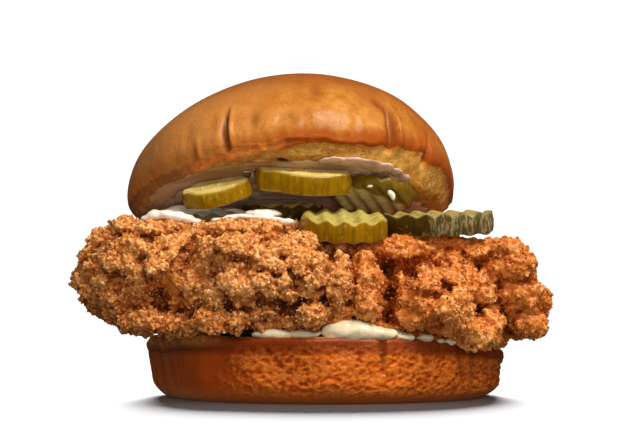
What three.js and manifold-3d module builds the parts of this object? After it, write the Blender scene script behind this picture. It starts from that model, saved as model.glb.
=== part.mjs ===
// A fried chicken burger: a heel and a tipped-back crown of glazed bun round a craggy chicken
// fillet, seven thick crinkle-cut pickle chips and three layers of mayonnaise.
// Millimetres, +Z up. The origin is the middle of the heel's flat base, which it stands on,
// and -Y is the open front, where the filling shows.
import * as THREE from "three";
import { mergeVertices } from "three/addons/utils/BufferGeometryUtils.js";
import { ImprovedNoise } from "three/addons/math/ImprovedNoise.js";
import Module from "manifold-3d";

// ---- Driving dimensions ----------------------------------------------------------------

const CLEARANCE = 0.55; // how far a piece that presses into another is grown before it is cut out
const SEAT_GAP = 0.3; // air left between a layer and the face that it lies on

const heel = {
  footRadius: 47.5, // the flat that stands on the table
  cornerHeight: 8, // where the rounded foot ends and the wall begins
  wallRadius: 53,
  rimRadius: 54.3,
  rimRound: 1.6, // rounding of the cut edge
  thickness: 19.5, // at the middle of the front
  droopLeft: 2.6, // how far the rim sags under the fillet's two ends
  droopRight: 5.0,
  droopBack: 1.5,
  lipReach: 1.5, // a torn lip of crust that stands out from the rim at the front left
  lipHeight: 3.6,
};

const crown = {
  cutRadius: 49.2, // the crust at the cut
  bandHeight: 2.8, // the matt strip of side crust that the knife left under the dome
  bandRadius: 49.8,
  widestRadius: 51.2,
  widestHeight: 6.5,
  domeRise: 34.6, // from the widest ring to the top
  shoulderSlim: 1.3, // how far the dome's shoulder falls short of an ellipse
  apexShift: 3.6, // the dome leans to the right
  centre: new THREE.Vector3(-10.6, 5, 56.9), // of the cut face, in the burger
  tilt: 18.9, // degrees, front edge up
  roll: 2.3, // degrees, left edge down
  cutSag: 2.6, // the crumb swells below the cut plane at the front right
};

const fillet = {
  // Lobes of meat that swell into one another: centre and half-sizes.
  lobes: [
    { at: [-59, -10, 38], half: [19, 31, 15] },
    { at: [-46, -15, 38], half: [18, 33, 16.5] },
    { at: [-57, -14, 29], half: [13, 24, 9.5] },
    { at: [-25, -20, 37.5], half: [20, 37, 17.5] },
    { at: [-7, -21, 36], half: [13.5, 37, 16.5] },
    { at: [12, -16, 33.5], half: [9.5, 36, 14] },
    { at: [31, -15, 31], half: [16, 37, 14.5] },
    { at: [49, -8, 35.5], half: [14.5, 27, 12] },
    { at: [54.5, -8, 27.5], half: [14, 24, 10.5] },
    { at: [-8, 16, 34], half: [52, 32, 14.5] },
  ],
  swell: 8, // how sharply the lobes join
  // Clefts in the breading, mostly down the front: start, end, half-width and depth.
  clefts: [
    { from: [-40, -53, 54], to: [-42, -55, 40], width: 3.6, depth: 0.5 },
    { from: [-44, -56, 34], to: [-50, -52, 30], width: 4.6, depth: 0.7 },
    { from: [-16, -60, 23], to: [-9, -56, 20], width: 4.2, depth: 0.7 },
    { from: [-12, -61, 29], to: [4, -59, 30], width: 2.6, depth: 0.3 },
    { from: [17.5, -57, 46], to: [19.5, -55, 24], width: 4.2, depth: 0.6 },
    { from: [41, -50, 44], to: [48, -44, 26], width: 3.4, depth: 0.5 },
  ],
  cragHeight: 2.6,
  cragPitch: 15,
  crumbHeight: 1.6,
  crumbPitch: 8,
  skinDetail: 14, // of the icosahedron that is shrunk on to the lobes
  frontCrowding: 0.3, // how much closer its corners lie at the front than at the back
};

// Chips: middle, half-widths across X and Y before they are tipped, thickness, and degrees that
// the front edge drops, that the right edge drops, and that the ridges are turned.
const pickles = {
  pickle_left: { at: [-32.4, -31.5, 61.8], half: [10.4, 7.5], thick: 5.6, nose: 6, roll: -12, ridges: 84 },
  pickle_centre: { at: [-6.8, -32, 65.6], half: [14.2, 6.8], thick: 7, nose: 6, roll: 4, ridges: 96 },
  pickle_right: { at: [14, -19.5, 61.6], half: [12.6, 12], thick: 3.4, nose: -20, roll: 5, ridges: 40 },
  pickle_front: { at: [5, -37.8, 51.6], half: [13, 12.2], thick: 6.4, nose: 8, roll: 2, ridges: 2 },
  pickle_long: { at: [33.4, -30, 52.2], half: [16.4, 12.5], thick: 6.6, nose: 3, roll: -1.5, ridges: 6 },
  pickle_inner: { at: [-13.2, -18, 56], half: [12.2, 10.5], thick: 5.4, nose: 3, roll: 0, ridges: 30 },
  pickle_shade: { at: [-38, -25, 52], half: [10.5, 9.5], thick: 4.6, nose: 8, roll: -4, ridges: 10 },
};
const RIDGE_PITCH = 5.3;
const RIDGE_HEIGHT = 0.9; // from mid-line to crest
const CHIP_SIDES = 24;

const colours = {
  crust: 0xb9682a,
  heelCrust: 0xa5541c,
  breading: 0xbf7b3f,
  pickle: 0x9a8f1c,
  pickleShade: 0x5f5a18,
  mayonnaise: 0xeee3c8,
};

// ---- Tools -----------------------------------------------------------------------------

const wasm = await Module();
wasm.setup();
const perlin = new ImprovedNoise();
const { degToRad, smoothstep, clamp } = THREE.MathUtils;

// A closed mesh's corners alone, shared between its faces.
function welded(geometry) {
  const bare = new THREE.BufferGeometry();
  bare.setAttribute("position", geometry.getAttribute("position"));
  bare.setIndex(geometry.getIndex());
  return mergeVertices(bare, 1e-3);
}

function solidOf(geometry) {
  const g = welded(geometry);
  const vertProperties = new Float32Array(g.attributes.position.array);
  return new wasm.Manifold(
    new wasm.Mesh({ numProp: 3, vertProperties, triVerts: new Uint32Array(g.index.array) }),
  );
}

function geometryOf(solid) {
  const made = solid.getMesh();
  const geometry = new THREE.BufferGeometry();
  geometry.setAttribute("position", new THREE.BufferAttribute(made.vertProperties, 3));
  geometry.setIndex(new THREE.BufferAttribute(made.triVerts, 1));
  geometry.computeVertexNormals();
  return geometry;
}

// Moves each corner of a geometry by a function that changes the point it is given.
function shaped(geometry, move) {
  const g = welded(geometry);
  const place = g.attributes.position;
  const p = new THREE.Vector3();
  for (let i = 0; i < place.count; i += 1) {
    p.fromBufferAttribute(place, i);
    move(p);
    place.setXYZ(i, p.x, p.y, p.z);
  }
  g.computeVertexNormals();
  return g;
}

// A geometry pushed out along its own normals.
function grown(geometry, by) {
  const g = welded(geometry);
  g.computeVertexNormals();
  const place = g.attributes.position;
  const normal = g.attributes.normal;
  for (let i = 0; i < place.count; i += 1) {
    place.setXYZ(
      i,
      place.getX(i) + normal.getX(i) * by,
      place.getY(i) + normal.getY(i) * by,
      place.getZ(i) + normal.getZ(i) * by,
    );
  }
  return g;
}

// Cuts its neighbours' hollows, each a little larger than the neighbour, out of a placed mesh and
// keeps the mesh's largest piece.
function press(mesh, neighbours) {
  mesh.updateWorldMatrix(true, false);
  const toMesh = mesh.matrixWorld.clone().invert();
  let left = solidOf(mesh.geometry);
  for (const neighbour of neighbours) {
    neighbour.updateWorldMatrix(true, false);
    const tool = neighbour.userData.hollow.clone();
    tool.applyMatrix4(toMesh.clone().multiply(neighbour.matrixWorld));
    left = left.subtract(solidOf(tool));
  }
  const pieces = left.decompose().sort((a, b) => b.volume() - a.volume());
  mesh.geometry = geometryOf(pieces[0]);
}

// A profile of [radius, height] pairs, from the axis at the foot to the axis at the top, turned
// about +Z.
function turned(profile, sides) {
  const points = profile.map(([radius, height]) => new THREE.Vector2(radius, height));
  return new THREE.LatheGeometry(points, sides).rotateX(Math.PI / 2);
}

// Steps along a quarter of an ellipse, from the side (radius out) to the top (height up).
function quarter(steps, centreRadius, centreHeight, radius, height) {
  return Array.from({ length: steps + 1 }, (_, i) => {
    const turn = (i / steps) * (Math.PI / 2);
    return [centreRadius + radius * Math.cos(turn), centreHeight + height * Math.sin(turn)];
  });
}

const noise = (x, y, z, pitch) => perlin.noise(x / pitch, y / pitch, z / pitch);
// 1 at the middle of a window and 0 outside it, in whatever unit the three values share.
const bump = (value, middle, half) => Math.exp(-(((value - middle) / half) ** 2));
// The angle of a point about +Z in degrees, 0 at +X and 270 at the front.
const bearing = (p) => (THREE.MathUtils.radToDeg(Math.atan2(p.y, p.x)) + 360) % 360;

// A named mesh, with the hollow that it needs in whatever it is pressed into.
function placed(name, geometry, colour, roughness, hollow = grown(geometry, CLEARANCE)) {
  const material = new THREE.MeshStandardMaterial({ color: colour, roughness, metalness: 0 });
  const mesh = new THREE.Mesh(geometry, material);
  mesh.name = name;
  mesh.userData.hollow = hollow;
  return mesh;
}

// ---- The heel --------------------------------------------------------------------------

// The height of the heel's cut face, which sags towards its edges.
function heelTop(x, y) {
  const side = x < 0 ? heel.droopLeft : heel.droopRight;
  const across = Math.abs(x) / heel.rimRadius;
  const back = Math.max(0, y) / heel.rimRadius;
  return heel.thickness - side * across ** 3 - heel.droopBack * back ** 2;
}

function makeHeel() {
  const { footRadius, cornerHeight, wallRadius, rimRadius, rimRound, thickness } = heel;
  const foot = quarter(5, footRadius, cornerHeight, wallRadius - footRadius, -cornerHeight);
  const rim = quarter(3, rimRadius - rimRound, thickness - rimRound, rimRound, rimRound);
  const face = [42, 28, 14, 0].map((radius) => [radius, thickness]);
  const wall = [0.35, 0.7].map((share) => [
    THREE.MathUtils.lerp(wallRadius, rimRadius, share),
    THREE.MathUtils.lerp(cornerHeight, thickness - rimRound, share),
  ]);
  const profile = [[0, 0], [24, 0], ...foot.reverse(), ...wall, ...rim, ...face];
  return shaped(turned(profile, 54), (p) => {
    const radius = Math.hypot(p.x, p.y);
    const share = p.z / thickness;
    const angle = bearing(p);
    const onWall = smoothstep(radius, 44, 50) * Math.min(1, share * 4);
    // The wall swells unevenly and is puckered into upright wrinkles at its two ends.
    const ends = bump(angle, 182, 22) + bump(angle, 338, 30);
    const swell = 0.9 * noise(p.x, p.y, p.z * 1.5, 31) + 0.8 * noise(p.x, p.y, p.z, 11);
    const wrinkle = ends * 0.7 * Math.sin(degToRad(angle) * 46 + 2 * share);
    const crease = -1.1 * bump(angle, 287, 1.8) * smoothstep(share, 0.35, 0.9);
    const lip =
      heel.lipReach *
      smoothstep(angle, 183, 192) *
      (1 - smoothstep(angle, 225, 242)) *
      smoothstep(p.z, thickness - heel.lipHeight - 0.5, thickness - heel.lipHeight + 0.5);
    const push = onWall * (swell + wrinkle + crease) + lip * smoothstep(radius, 46, 52);
    p.x *= 1 + push / Math.max(radius, 1);
    p.y *= 1 + push / Math.max(radius, 1);
    p.z = heelTop(p.x, p.y) * share;
  });
}

// ---- Mayonnaise ------------------------------------------------------------------------

// A pool: a lobed outline and a thickness, both functions, on a floor that is a function too.
function pool(outline, thickness, floor, sides, rows) {
  const ball = new THREE.SphereGeometry(1, sides, rows).rotateX(Math.PI / 2);
  return shaped(ball, (p) => {
    const angle = Math.atan2(p.y, p.x);
    const level = clamp(p.z, -1, 1);
    const reach = outline(angle) * (1 - level * level) ** 0.35;
    const x = reach * Math.cos(angle);
    const y = reach * Math.sin(angle);
    p.set(x, y, floor(x, y) + (thickness(x, y) * (1 + level)) / 2);
  });
}

function makeHeelMayonnaise() {
  const outline = (angle) => {
    const degrees = (THREE.MathUtils.radToDeg(angle) + 360) % 360;
    const front = smoothstep(degrees, 240, 252) * (1 - smoothstep(degrees, 312, 326));
    return 42 + 8.2 * front + 0.9 * Math.sin(angle * 9) + 0.6 * Math.sin(angle * 23 + 1);
  };
  const thickness = (x, y) => {
    const dollop = 2.2 * bump(x, 9, 9) * smoothstep(-y, 34, 46);
    const beads = 0.5 * Math.sin(x * 0.9) * smoothstep(-y, 38, 47);
    return 1.8 + dollop + beads;
  };
  return pool(outline, thickness, (x, y) => heelTop(x, y) + SEAT_GAP, 52, 6);
}

function makeFilletMayonnaise() {
  const outline = (angle) => 15 + 1.6 * Math.sin(angle * 5 + 0.6) + 0.8 * Math.sin(angle * 11);
  const thickness = (x, y) => 6.5 + 1.0 * Math.sin(x * 0.55) + 0.5 * Math.sin(y * 0.8 + x * 0.2);
  const floor = (x, y) => -3.2 - 0.012 * x * x - 0.012 * y * y;
  const made = pool(outline, thickness, floor, 36, 7);
  return made.scale(1.75, 0.85, 1);
}

function makeCrownMayonnaise() {
  const outline = (angle) => {
    const degrees = (THREE.MathUtils.radToDeg(angle) + 360) % 360;
    return 42.5 + 3.2 * bump(degrees, 205, 28) - 4.5 * bump(degrees, 325, 22) + 1.1 * Math.sin(angle * 8);
  };
  const thickness = (x, y) => 2.2 + 1.1 * bump(x, 16, 10) * bump(y, -32, 12) + 0.3 * Math.sin(x * 0.5);
  // Made face up and then turned over, which swaps the sign of y.
  const floor = (x, y) => cutSag(x, -y) + SEAT_GAP;
  return pool(outline, thickness, floor, 40, 6).rotateX(Math.PI);
}

// ---- The crown -------------------------------------------------------------------------

// How far the crumb swells below the cut plane.
const cutSag = (x, y) => crown.cutSag * bump(x, 40, 15) * bump(y, -20, 24);

// Pinched folds in the glazed crust: degrees round the crown, width, top height and depth.
const folds = [
  { angle: 253.5, width: 2.2, top: 23, depth: 1.9 },
  { angle: 238, width: 2.6, top: 13, depth: 1.2 },
  { angle: 306, width: 2.4, top: 25, depth: 2.4 },
  { angle: 327, width: 2.8, top: 17, depth: 1.5 },
  { angle: 216, width: 3.5, top: 12, depth: 0.9 },
  { angle: 268, width: 4.5, top: 16, depth: 0.8 },
  { angle: 120, width: 3, top: 15, depth: 1.2 },
  { angle: 62, width: 3, top: 18, depth: 1.2 },
];

function makeCrown() {
  const { cutRadius, bandRadius, bandHeight, widestRadius, widestHeight, domeRise } = crown;
  const face = [0, 16, 30, 41].map((radius) => [radius, 0]);
  const dome = quarter(11, 0, widestHeight, widestRadius, domeRise);
  const band = [
    [cutRadius, 0.4],
    [bandRadius, bandHeight * 0.6],
    [bandRadius - 0.5, bandHeight],
    [widestRadius - 0.6, widestHeight * 0.7],
  ];
  const profile = [...face, [cutRadius - 1.2, 0], ...band, ...dome.slice(0, -1), [0, widestHeight + domeRise]];
  return shaped(turned(profile, 60), (p) => {
    const radius = Math.max(Math.hypot(p.x, p.y), 1e-6);
    const angle = bearing(p);
    const up = p.z / (widestHeight + domeRise);
    const onCrust = smoothstep(radius, 40, 48) + smoothstep(p.z, 6, 14);
    let push = Math.min(1, onCrust) * (0.9 * noise(p.x, p.y, p.z, 34) + 0.35 * noise(p.x, p.y, p.z, 15));
    push -= crown.shoulderSlim * bump(up, 0.68, 0.24);
    for (const { angle: at, width, top, depth } of folds) {
      const high = smoothstep(p.z, 0.5, 4) * (1 - smoothstep(p.z, top * 0.45, top));
      push -= depth * high * (bump(angle, at, width) - 0.45 * bump(angle, at + 1.6 * width, width));
    }
    // The cut edge is ragged, and drops a little between the folds.
    const ragged = (1 - smoothstep(p.z, 0.5, 5)) * smoothstep(radius, 42, 48);
    const drop = ragged * (0.9 * noise(p.x, p.y, 3, 9) + 0.5 * noise(p.x, p.y, 7, 4));
    p.x *= 1 + push / radius;
    p.y *= 1 + push / radius;
    p.x += crown.apexShift * up * up;
    p.z += drop - cutSag(p.x, p.y) * (1 - smoothstep(p.z, 0.2, 9));
  });
}

// ---- Pickle chips ----------------------------------------------------------------------

// An upright oval prism.
function oval(halfX, halfY, height) {
  const round = new THREE.CylinderGeometry(1, 1, height, CHIP_SIDES).rotateX(Math.PI / 2);
  return round.scale(halfX, halfY, 1);
}

// A slab with both faces cut by a crinkled blade, trimmed to an oval.
function makeChip({ half: [halfX, halfY], thick, ridges }) {
  const reach = Math.max(halfX, halfY) + 1;
  const wave = (x) => RIDGE_HEIGHT * Math.cos((2 * Math.PI * x) / RIDGE_PITCH);
  const steps = Math.round((2 * reach) / (RIDGE_PITCH / 4));
  const across = Array.from({ length: steps + 1 }, (_, i) => -reach + (2 * reach * i) / steps);
  const outline = [
    ...across.map((x) => new THREE.Vector2(x, wave(x) - thick / 2)),
    ...across.reverse().map((x) => new THREE.Vector2(x, wave(x) + thick / 2)),
  ];
  const slab = new THREE.ExtrudeGeometry(new THREE.Shape(outline), {
    depth: 2 * reach,
    steps: 1,
    bevelEnabled: false,
  });
  slab.translate(0, 0, -reach).rotateX(Math.PI / 2).rotateZ(degToRad(ridges));
  return geometryOf(solidOf(slab).intersect(solidOf(oval(halfX, halfY, 4 * thick))));
}

function placeChip(name, chip) {
  const shaded = name === "pickle_inner" || name === "pickle_shade";
  const colour = shaded ? colours.pickleShade : colours.pickle;
  const [halfX, halfY] = chip.half;
  const hollowHeight = chip.thick + 2 * (RIDGE_HEIGHT + CLEARANCE);
  const hollow = oval(halfX + CLEARANCE, halfY + CLEARANCE, hollowHeight);
  const mesh = placed(name, makeChip(chip), colour, 0.35, hollow);
  mesh.position.set(...chip.at);
  mesh.rotation.set(degToRad(chip.nose), degToRad(chip.roll), 0, "YXZ");
  return mesh;
}

// ---- The fillet ------------------------------------------------------------------------

const nearestOnSegment = new THREE.Line3();
const foot = new THREE.Vector3();

// Above 0 inside the meat and below 0 outside it.
function meat(p) {
  let sum = 0;
  for (const { at, half } of fillet.lobes) {
    const k = Math.hypot((p.x - at[0]) / half[0], (p.y - at[1]) / half[1], (p.z - at[2]) / half[2]);
    sum += Math.exp(fillet.swell * (1 - k));
  }
  let value = Math.log(sum);
  for (const { from, to, width, depth } of fillet.clefts) {
    nearestOnSegment.start.set(...from);
    nearestOnSegment.end.set(...to);
    nearestOnSegment.closestPointToPoint(p, true, foot);
    value -= depth * fillet.swell * Math.exp(-((foot.distanceTo(p) / width) ** 2) / 2);
  }
  return value;
}

// Crags: sharp-topped ridges of two sizes, in millimetres above the meat.
function crag(p) {
  const ridge = 1 - 2 * Math.abs(noise(p.x, p.y + 20, p.z, fillet.cragPitch));
  const crumb = noise(p.x + 40, p.y, p.z, fillet.crumbPitch);
  return fillet.cragHeight * (ridge - 0.6) + fillet.crumbHeight * crumb;
}

// Each point of a flat oval is moved out from the fillet's mid-plane until it leaves the meat.
function makeFillet() {
  const skin = new THREE.IcosahedronGeometry(1, fillet.skinDetail);
  const start = new THREE.Vector3();
  const way = new THREE.Vector3();
  return shaped(skin, (p) => {
    p.y -= fillet.frontCrowding;
    p.normalize();
    const side = Math.hypot(p.x, p.y);
    start.set(-5 + p.x * 56, -8 + p.y * 34, 34);
    way.set(p.x, p.y, p.z * 2.4).normalize();
    let inside = 0;
    let outside = 70;
    for (let i = 0; i < 26; i += 1) {
      const middle = (inside + outside) / 2;
      p.copy(start).addScaledVector(way, middle);
      if (meat(p) > 0) inside = middle;
      else outside = middle;
    }
    p.copy(start).addScaledVector(way, inside);
    p.addScaledVector(way, crag(p) * (0.5 + 0.5 * side));
  });
}

// ---- Assembly --------------------------------------------------------------------------

const burger = new THREE.Group();

const heelMesh = placed("bun_heel", makeHeel(), colours.heelCrust, 0.55);
const heelMayonnaise = placed("mayonnaise_heel", makeHeelMayonnaise(), colours.mayonnaise, 0.3);

const top = new THREE.Group();
top.position.copy(crown.centre);
top.rotation.set(-degToRad(crown.tilt), -degToRad(crown.roll), 0, "YXZ");
const crownMesh = placed("bun_crown", makeCrown(), colours.crust, 0.35);
const crownMayonnaise = placed("mayonnaise_crown", makeCrownMayonnaise(), colours.mayonnaise, 0.3);
top.add(crownMesh, crownMayonnaise);

const chips = Object.entries(pickles).map(([name, chip]) => placeChip(name, chip));
const chip = Object.fromEntries(chips.map((mesh) => [mesh.name, mesh]));

const filletMayonnaise = placed("mayonnaise_fillet", makeFilletMayonnaise(), colours.mayonnaise, 0.3);
filletMayonnaise.position.set(-32, -17, 54.5);
filletMayonnaise.rotation.set(0, degToRad(3), 0);

const filletMesh = placed("chicken_fillet", makeFillet(), colours.breading, 0.8);

burger.add(heelMesh, heelMayonnaise, top, ...chips, filletMayonnaise, filletMesh);

const underCrown = [chip.pickle_left, chip.pickle_centre, chip.pickle_right, chip.pickle_inner];
press(crownMayonnaise, underCrown);
press(crownMesh, underCrown);
press(filletMayonnaise, [crownMesh, crownMayonnaise, ...chips]);
press(filletMesh, [heelMesh, heelMayonnaise, crownMesh, crownMayonnaise, filletMayonnaise, ...chips]);

export default burger;
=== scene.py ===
# %% [markdown]
# # A fried chicken burger
#
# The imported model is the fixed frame: it says where the heel, the fillet, the chips, the crown
# and the mayonnaise are. This script dresses it. Bread gets its glaze, folds and crumb, the
# fillet its crags and crumbs, the chips their peel and wet flesh. Sizes are in millimetres and
# become metres in one place, when points are put into a mesh.

# %% The frame
import math

import bmesh
import bpy
import numpy as np
from mathutils import Matrix, Vector, noise
from mathutils.bvhtree import BVHTree


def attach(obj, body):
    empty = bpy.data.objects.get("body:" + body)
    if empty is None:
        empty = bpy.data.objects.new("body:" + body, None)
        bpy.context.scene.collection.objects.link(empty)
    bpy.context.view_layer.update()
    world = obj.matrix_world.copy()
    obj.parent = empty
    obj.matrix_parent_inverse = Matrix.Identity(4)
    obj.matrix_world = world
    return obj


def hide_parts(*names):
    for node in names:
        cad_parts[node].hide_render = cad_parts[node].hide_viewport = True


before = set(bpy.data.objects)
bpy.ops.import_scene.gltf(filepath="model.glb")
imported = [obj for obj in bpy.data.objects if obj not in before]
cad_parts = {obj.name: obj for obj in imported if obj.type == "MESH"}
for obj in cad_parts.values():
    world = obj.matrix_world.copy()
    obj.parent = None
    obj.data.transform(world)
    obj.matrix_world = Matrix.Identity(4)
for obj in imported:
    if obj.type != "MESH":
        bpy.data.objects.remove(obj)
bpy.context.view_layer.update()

MM = 0.001

# %% [markdown]
# ## Camera
#
# A long lens 0.7 m away, level with the fillet and tipped up by less than two degrees, sees the
# filling from slightly below, as the open front is meant to be seen.

# %% Camera
LENS_MM = 126.6
EYE = (-1.87, -700, 36)
LOOK_UP_DEGREES = 1.44

camera = bpy.data.objects.new("camera", bpy.data.cameras.new("camera"))
camera.data.lens = LENS_MM
camera.data.clip_start = 0.05
camera.location = [value * MM for value in EYE]
camera.rotation_euler = (math.radians(90 + LOOK_UP_DEGREES), 0, 0)
bpy.context.scene.collection.objects.link(camera)
bpy.context.scene.camera = camera

# %% [markdown]
# ## Meshes as arrays
#
# Blender keeps a mesh's corners in one long list. NumPy reads and writes that list at once, so
# a rule such as "push the skin in along this fold" is one line on whole columns of numbers
# instead of a slow loop.

# %% Reading and moving points
def points_of(piece):
    """A piece's corners in millimetres, one row for each."""
    flat = np.empty(len(piece.data.vertices) * 3)
    piece.data.vertices.foreach_get("co", flat)
    return flat.reshape(-1, 3) / MM


def put_points(piece, points):
    piece.data.vertices.foreach_set("co", (points * MM).ravel())
    piece.data.update()


def normals_of(piece):
    flat = np.empty(len(piece.data.vertices) * 3)
    piece.data.vertices.foreach_get("normal", flat)
    return flat.reshape(-1, 3)


def edges_of(piece):
    flat = np.empty(len(piece.data.edges) * 2, dtype=np.int32)
    piece.data.edges.foreach_get("vertices", flat)
    return flat.reshape(-1, 2)


def mark(piece, name, values):
    """Stores a number, or a vector in millimetres, for each corner, for a material to read."""
    values = np.asarray(values, dtype=np.float32)
    kind, field = ("FLOAT", "value") if values.ndim == 1 else ("FLOAT_VECTOR", "vector")
    layer = piece.data.attributes.new(name, kind, "POINT")
    layer.data.foreach_set(field, values.ravel())


# %% Smoothing and noise
def relaxed(points, edges, rounds, pull=0.5):
    """Points drawn towards the mean of their neighbours, again and again."""
    size = len(points)
    links = np.maximum(np.bincount(edges.ravel(), minlength=size), 1)
    a, b = edges[:, 0], edges[:, 1]
    for _ in range(rounds):
        columns = [
            (np.bincount(a, points[b, i], size) + np.bincount(b, points[a, i], size)) / links
            for i in range(3)
        ]
        points = points + pull * (np.stack(columns, axis=1) - points)
    return points


def calm_normals(piece, rounds):
    """The skin's normals, averaged over their neighbourhood so that a push along them is even."""
    calm = relaxed(normals_of(piece), edges_of(piece), rounds)
    return calm / np.maximum(np.linalg.norm(calm, axis=1), 1e-9)[:, None]


def soft_noise(points, pitch, seed=0.0):
    """Noise from about -1 to 1, with its hills about a pitch apart."""
    return np.array([noise.noise(place) for place in (points / pitch + seed).tolist()])


def window(values, low, high, soft):
    """1 between low and high, falling to 0 over a soft edge outside them."""
    rise = np.clip((values - low) / soft + 1, 0, 1)
    fall = np.clip((high - values) / soft + 1, 0, 1)
    return rise * rise * (3 - 2 * rise) * fall * fall * (3 - 2 * fall)


def hill(values, half_width):
    return np.exp(-((values / half_width) ** 2))


def step_up(values, low, high):
    share = np.clip((values - low) / (high - low), 0, 1)
    return share * share * (3 - 2 * share)


# %% [markdown]
# ## From bmesh to a piece
#
# Every new piece comes from a bmesh. A turned piece is a line of edges spun about Z, and a piece
# that must keep a CAD node's form starts from a copy of that node. The node's mesh is loose
# triangles, so the copy's doubles are merged first. A voxel remesh then gives it an even skin
# that can be smoothed and roughened without regard to the old facets.

# %% Making pieces
def piece_from(bm, name):
    mesh = bpy.data.meshes.new(name)
    bm.to_mesh(mesh)
    bm.free()
    piece = bpy.data.objects.new(name, mesh)
    bpy.context.scene.collection.objects.link(piece)
    return piece


def copy_of(node, name):
    bm = bmesh.new()
    bm.from_mesh(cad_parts[node].data)
    bmesh.ops.remove_doubles(bm, verts=bm.verts, dist=1e-6)
    return piece_from(bm, name)


def turned(profile, sides, name):
    """A closed solid of revolution about Z, from [radius, height] pairs that end on the axis."""
    bm = bmesh.new()
    corners = [bm.verts.new((radius * MM, 0, height * MM)) for radius, height in profile]
    line = [bm.edges.new(pair) for pair in zip(corners, corners[1:])]
    bmesh.ops.spin(
        bm, geom=corners + line, cent=(0, 0, 0), axis=(0, 0, 1),
        angle=math.tau, steps=sides, use_merge=True,
    )
    bmesh.ops.remove_doubles(bm, verts=bm.verts, dist=1e-7)
    bmesh.ops.recalc_face_normals(bm, faces=bm.faces)
    return piece_from(bm, name)


# %% Remeshing, smoothing and finishing
def with_modifiers_applied(piece):
    bpy.context.view_layer.update()
    graph = bpy.context.evaluated_depsgraph_get()
    made = bpy.data.meshes.new_from_object(piece.evaluated_get(graph))
    made.name = piece.name
    piece.modifiers.clear()
    piece.data = made
    return piece


def remeshed(piece, voxel):
    remesh = piece.modifiers.new("even skin", "REMESH")
    remesh.mode = "VOXEL"
    remesh.voxel_size = voxel * MM
    return with_modifiers_applied(piece)


def smoothed(piece, rounds):
    put_points(piece, relaxed(points_of(piece), edges_of(piece), rounds))
    return piece


def evenly(profile, step):
    """The same line as a list of [radius, height] pairs, with a point about every step."""
    line = np.array(profile, dtype=float)
    run = np.concatenate([[0], np.cumsum(np.linalg.norm(np.diff(line, axis=0), axis=1))])
    marks = np.linspace(0, run[-1], int(run[-1] / step) + 1)
    return np.stack([np.interp(marks, run, line[:, i]) for i in range(2)], axis=1)


def finished(piece, material, slot, *nodes):
    """Dresses a finished piece, shades it smooth and hands it to the frame."""
    piece.data.materials.clear()
    piece.data.materials.append(material)
    piece.data.shade_smooth()
    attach(piece, "root")
    if nodes:
        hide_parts(*nodes)
    print(piece.name, len(piece.data.polygons), "faces")


# %% [markdown]
# ## Materials as arithmetic
#
# A node tree is arithmetic drawn as boxes. The small class below lets the arithmetic be written
# as Python instead: adding two sockets adds a Math node. Every other node comes from one method
# that sets the node's own settings first and then fills or links its inputs. All patterns are
# measured in millimetres on the object's own coordinates.

# %% Sockets that can be added and multiplied
class Flow:
    """A node's output, which arithmetic can be written on."""

    def __init__(self, tree, socket):
        self.tree, self.socket = tree, socket

    def maths(self, operation, other=None, swapped=False):
        box = self.tree.nodes.new("ShaderNodeMath")
        box.operation = operation
        values = [self] if other is None else [other, self] if swapped else [self, other]
        for place, value in zip(box.inputs, values):
            fill(self.tree, place, value)
        return Flow(self.tree, box.outputs[0])

    def __add__(self, other): return self.maths("ADD", other)
    def __radd__(self, other): return self.maths("ADD", other)
    def __sub__(self, other): return self.maths("SUBTRACT", other)
    def __rsub__(self, other): return self.maths("SUBTRACT", other, swapped=True)
    def __mul__(self, other): return self.maths("MULTIPLY", other)
    def __rmul__(self, other): return self.maths("MULTIPLY", other)
    def __truediv__(self, other): return self.maths("DIVIDE", other)
    def __pow__(self, other): return self.maths("POWER", other)

    def rising(self, low, high):
        """0 up to low and 1 from high on, with a soft step between them."""
        box = self.tree.nodes.new("ShaderNodeMapRange")
        box.interpolation_type = "SMOOTHSTEP"
        for name, value in {"Value": self, "From Min": low, "From Max": high}.items():
            fill(self.tree, box.inputs[name], value)
        return Flow(self.tree, box.outputs["Result"])


def fill(tree, place, value):
    if isinstance(value, Flow):
        tree.links.new(value.socket, place)
    else:
        place.default_value = value


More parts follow.
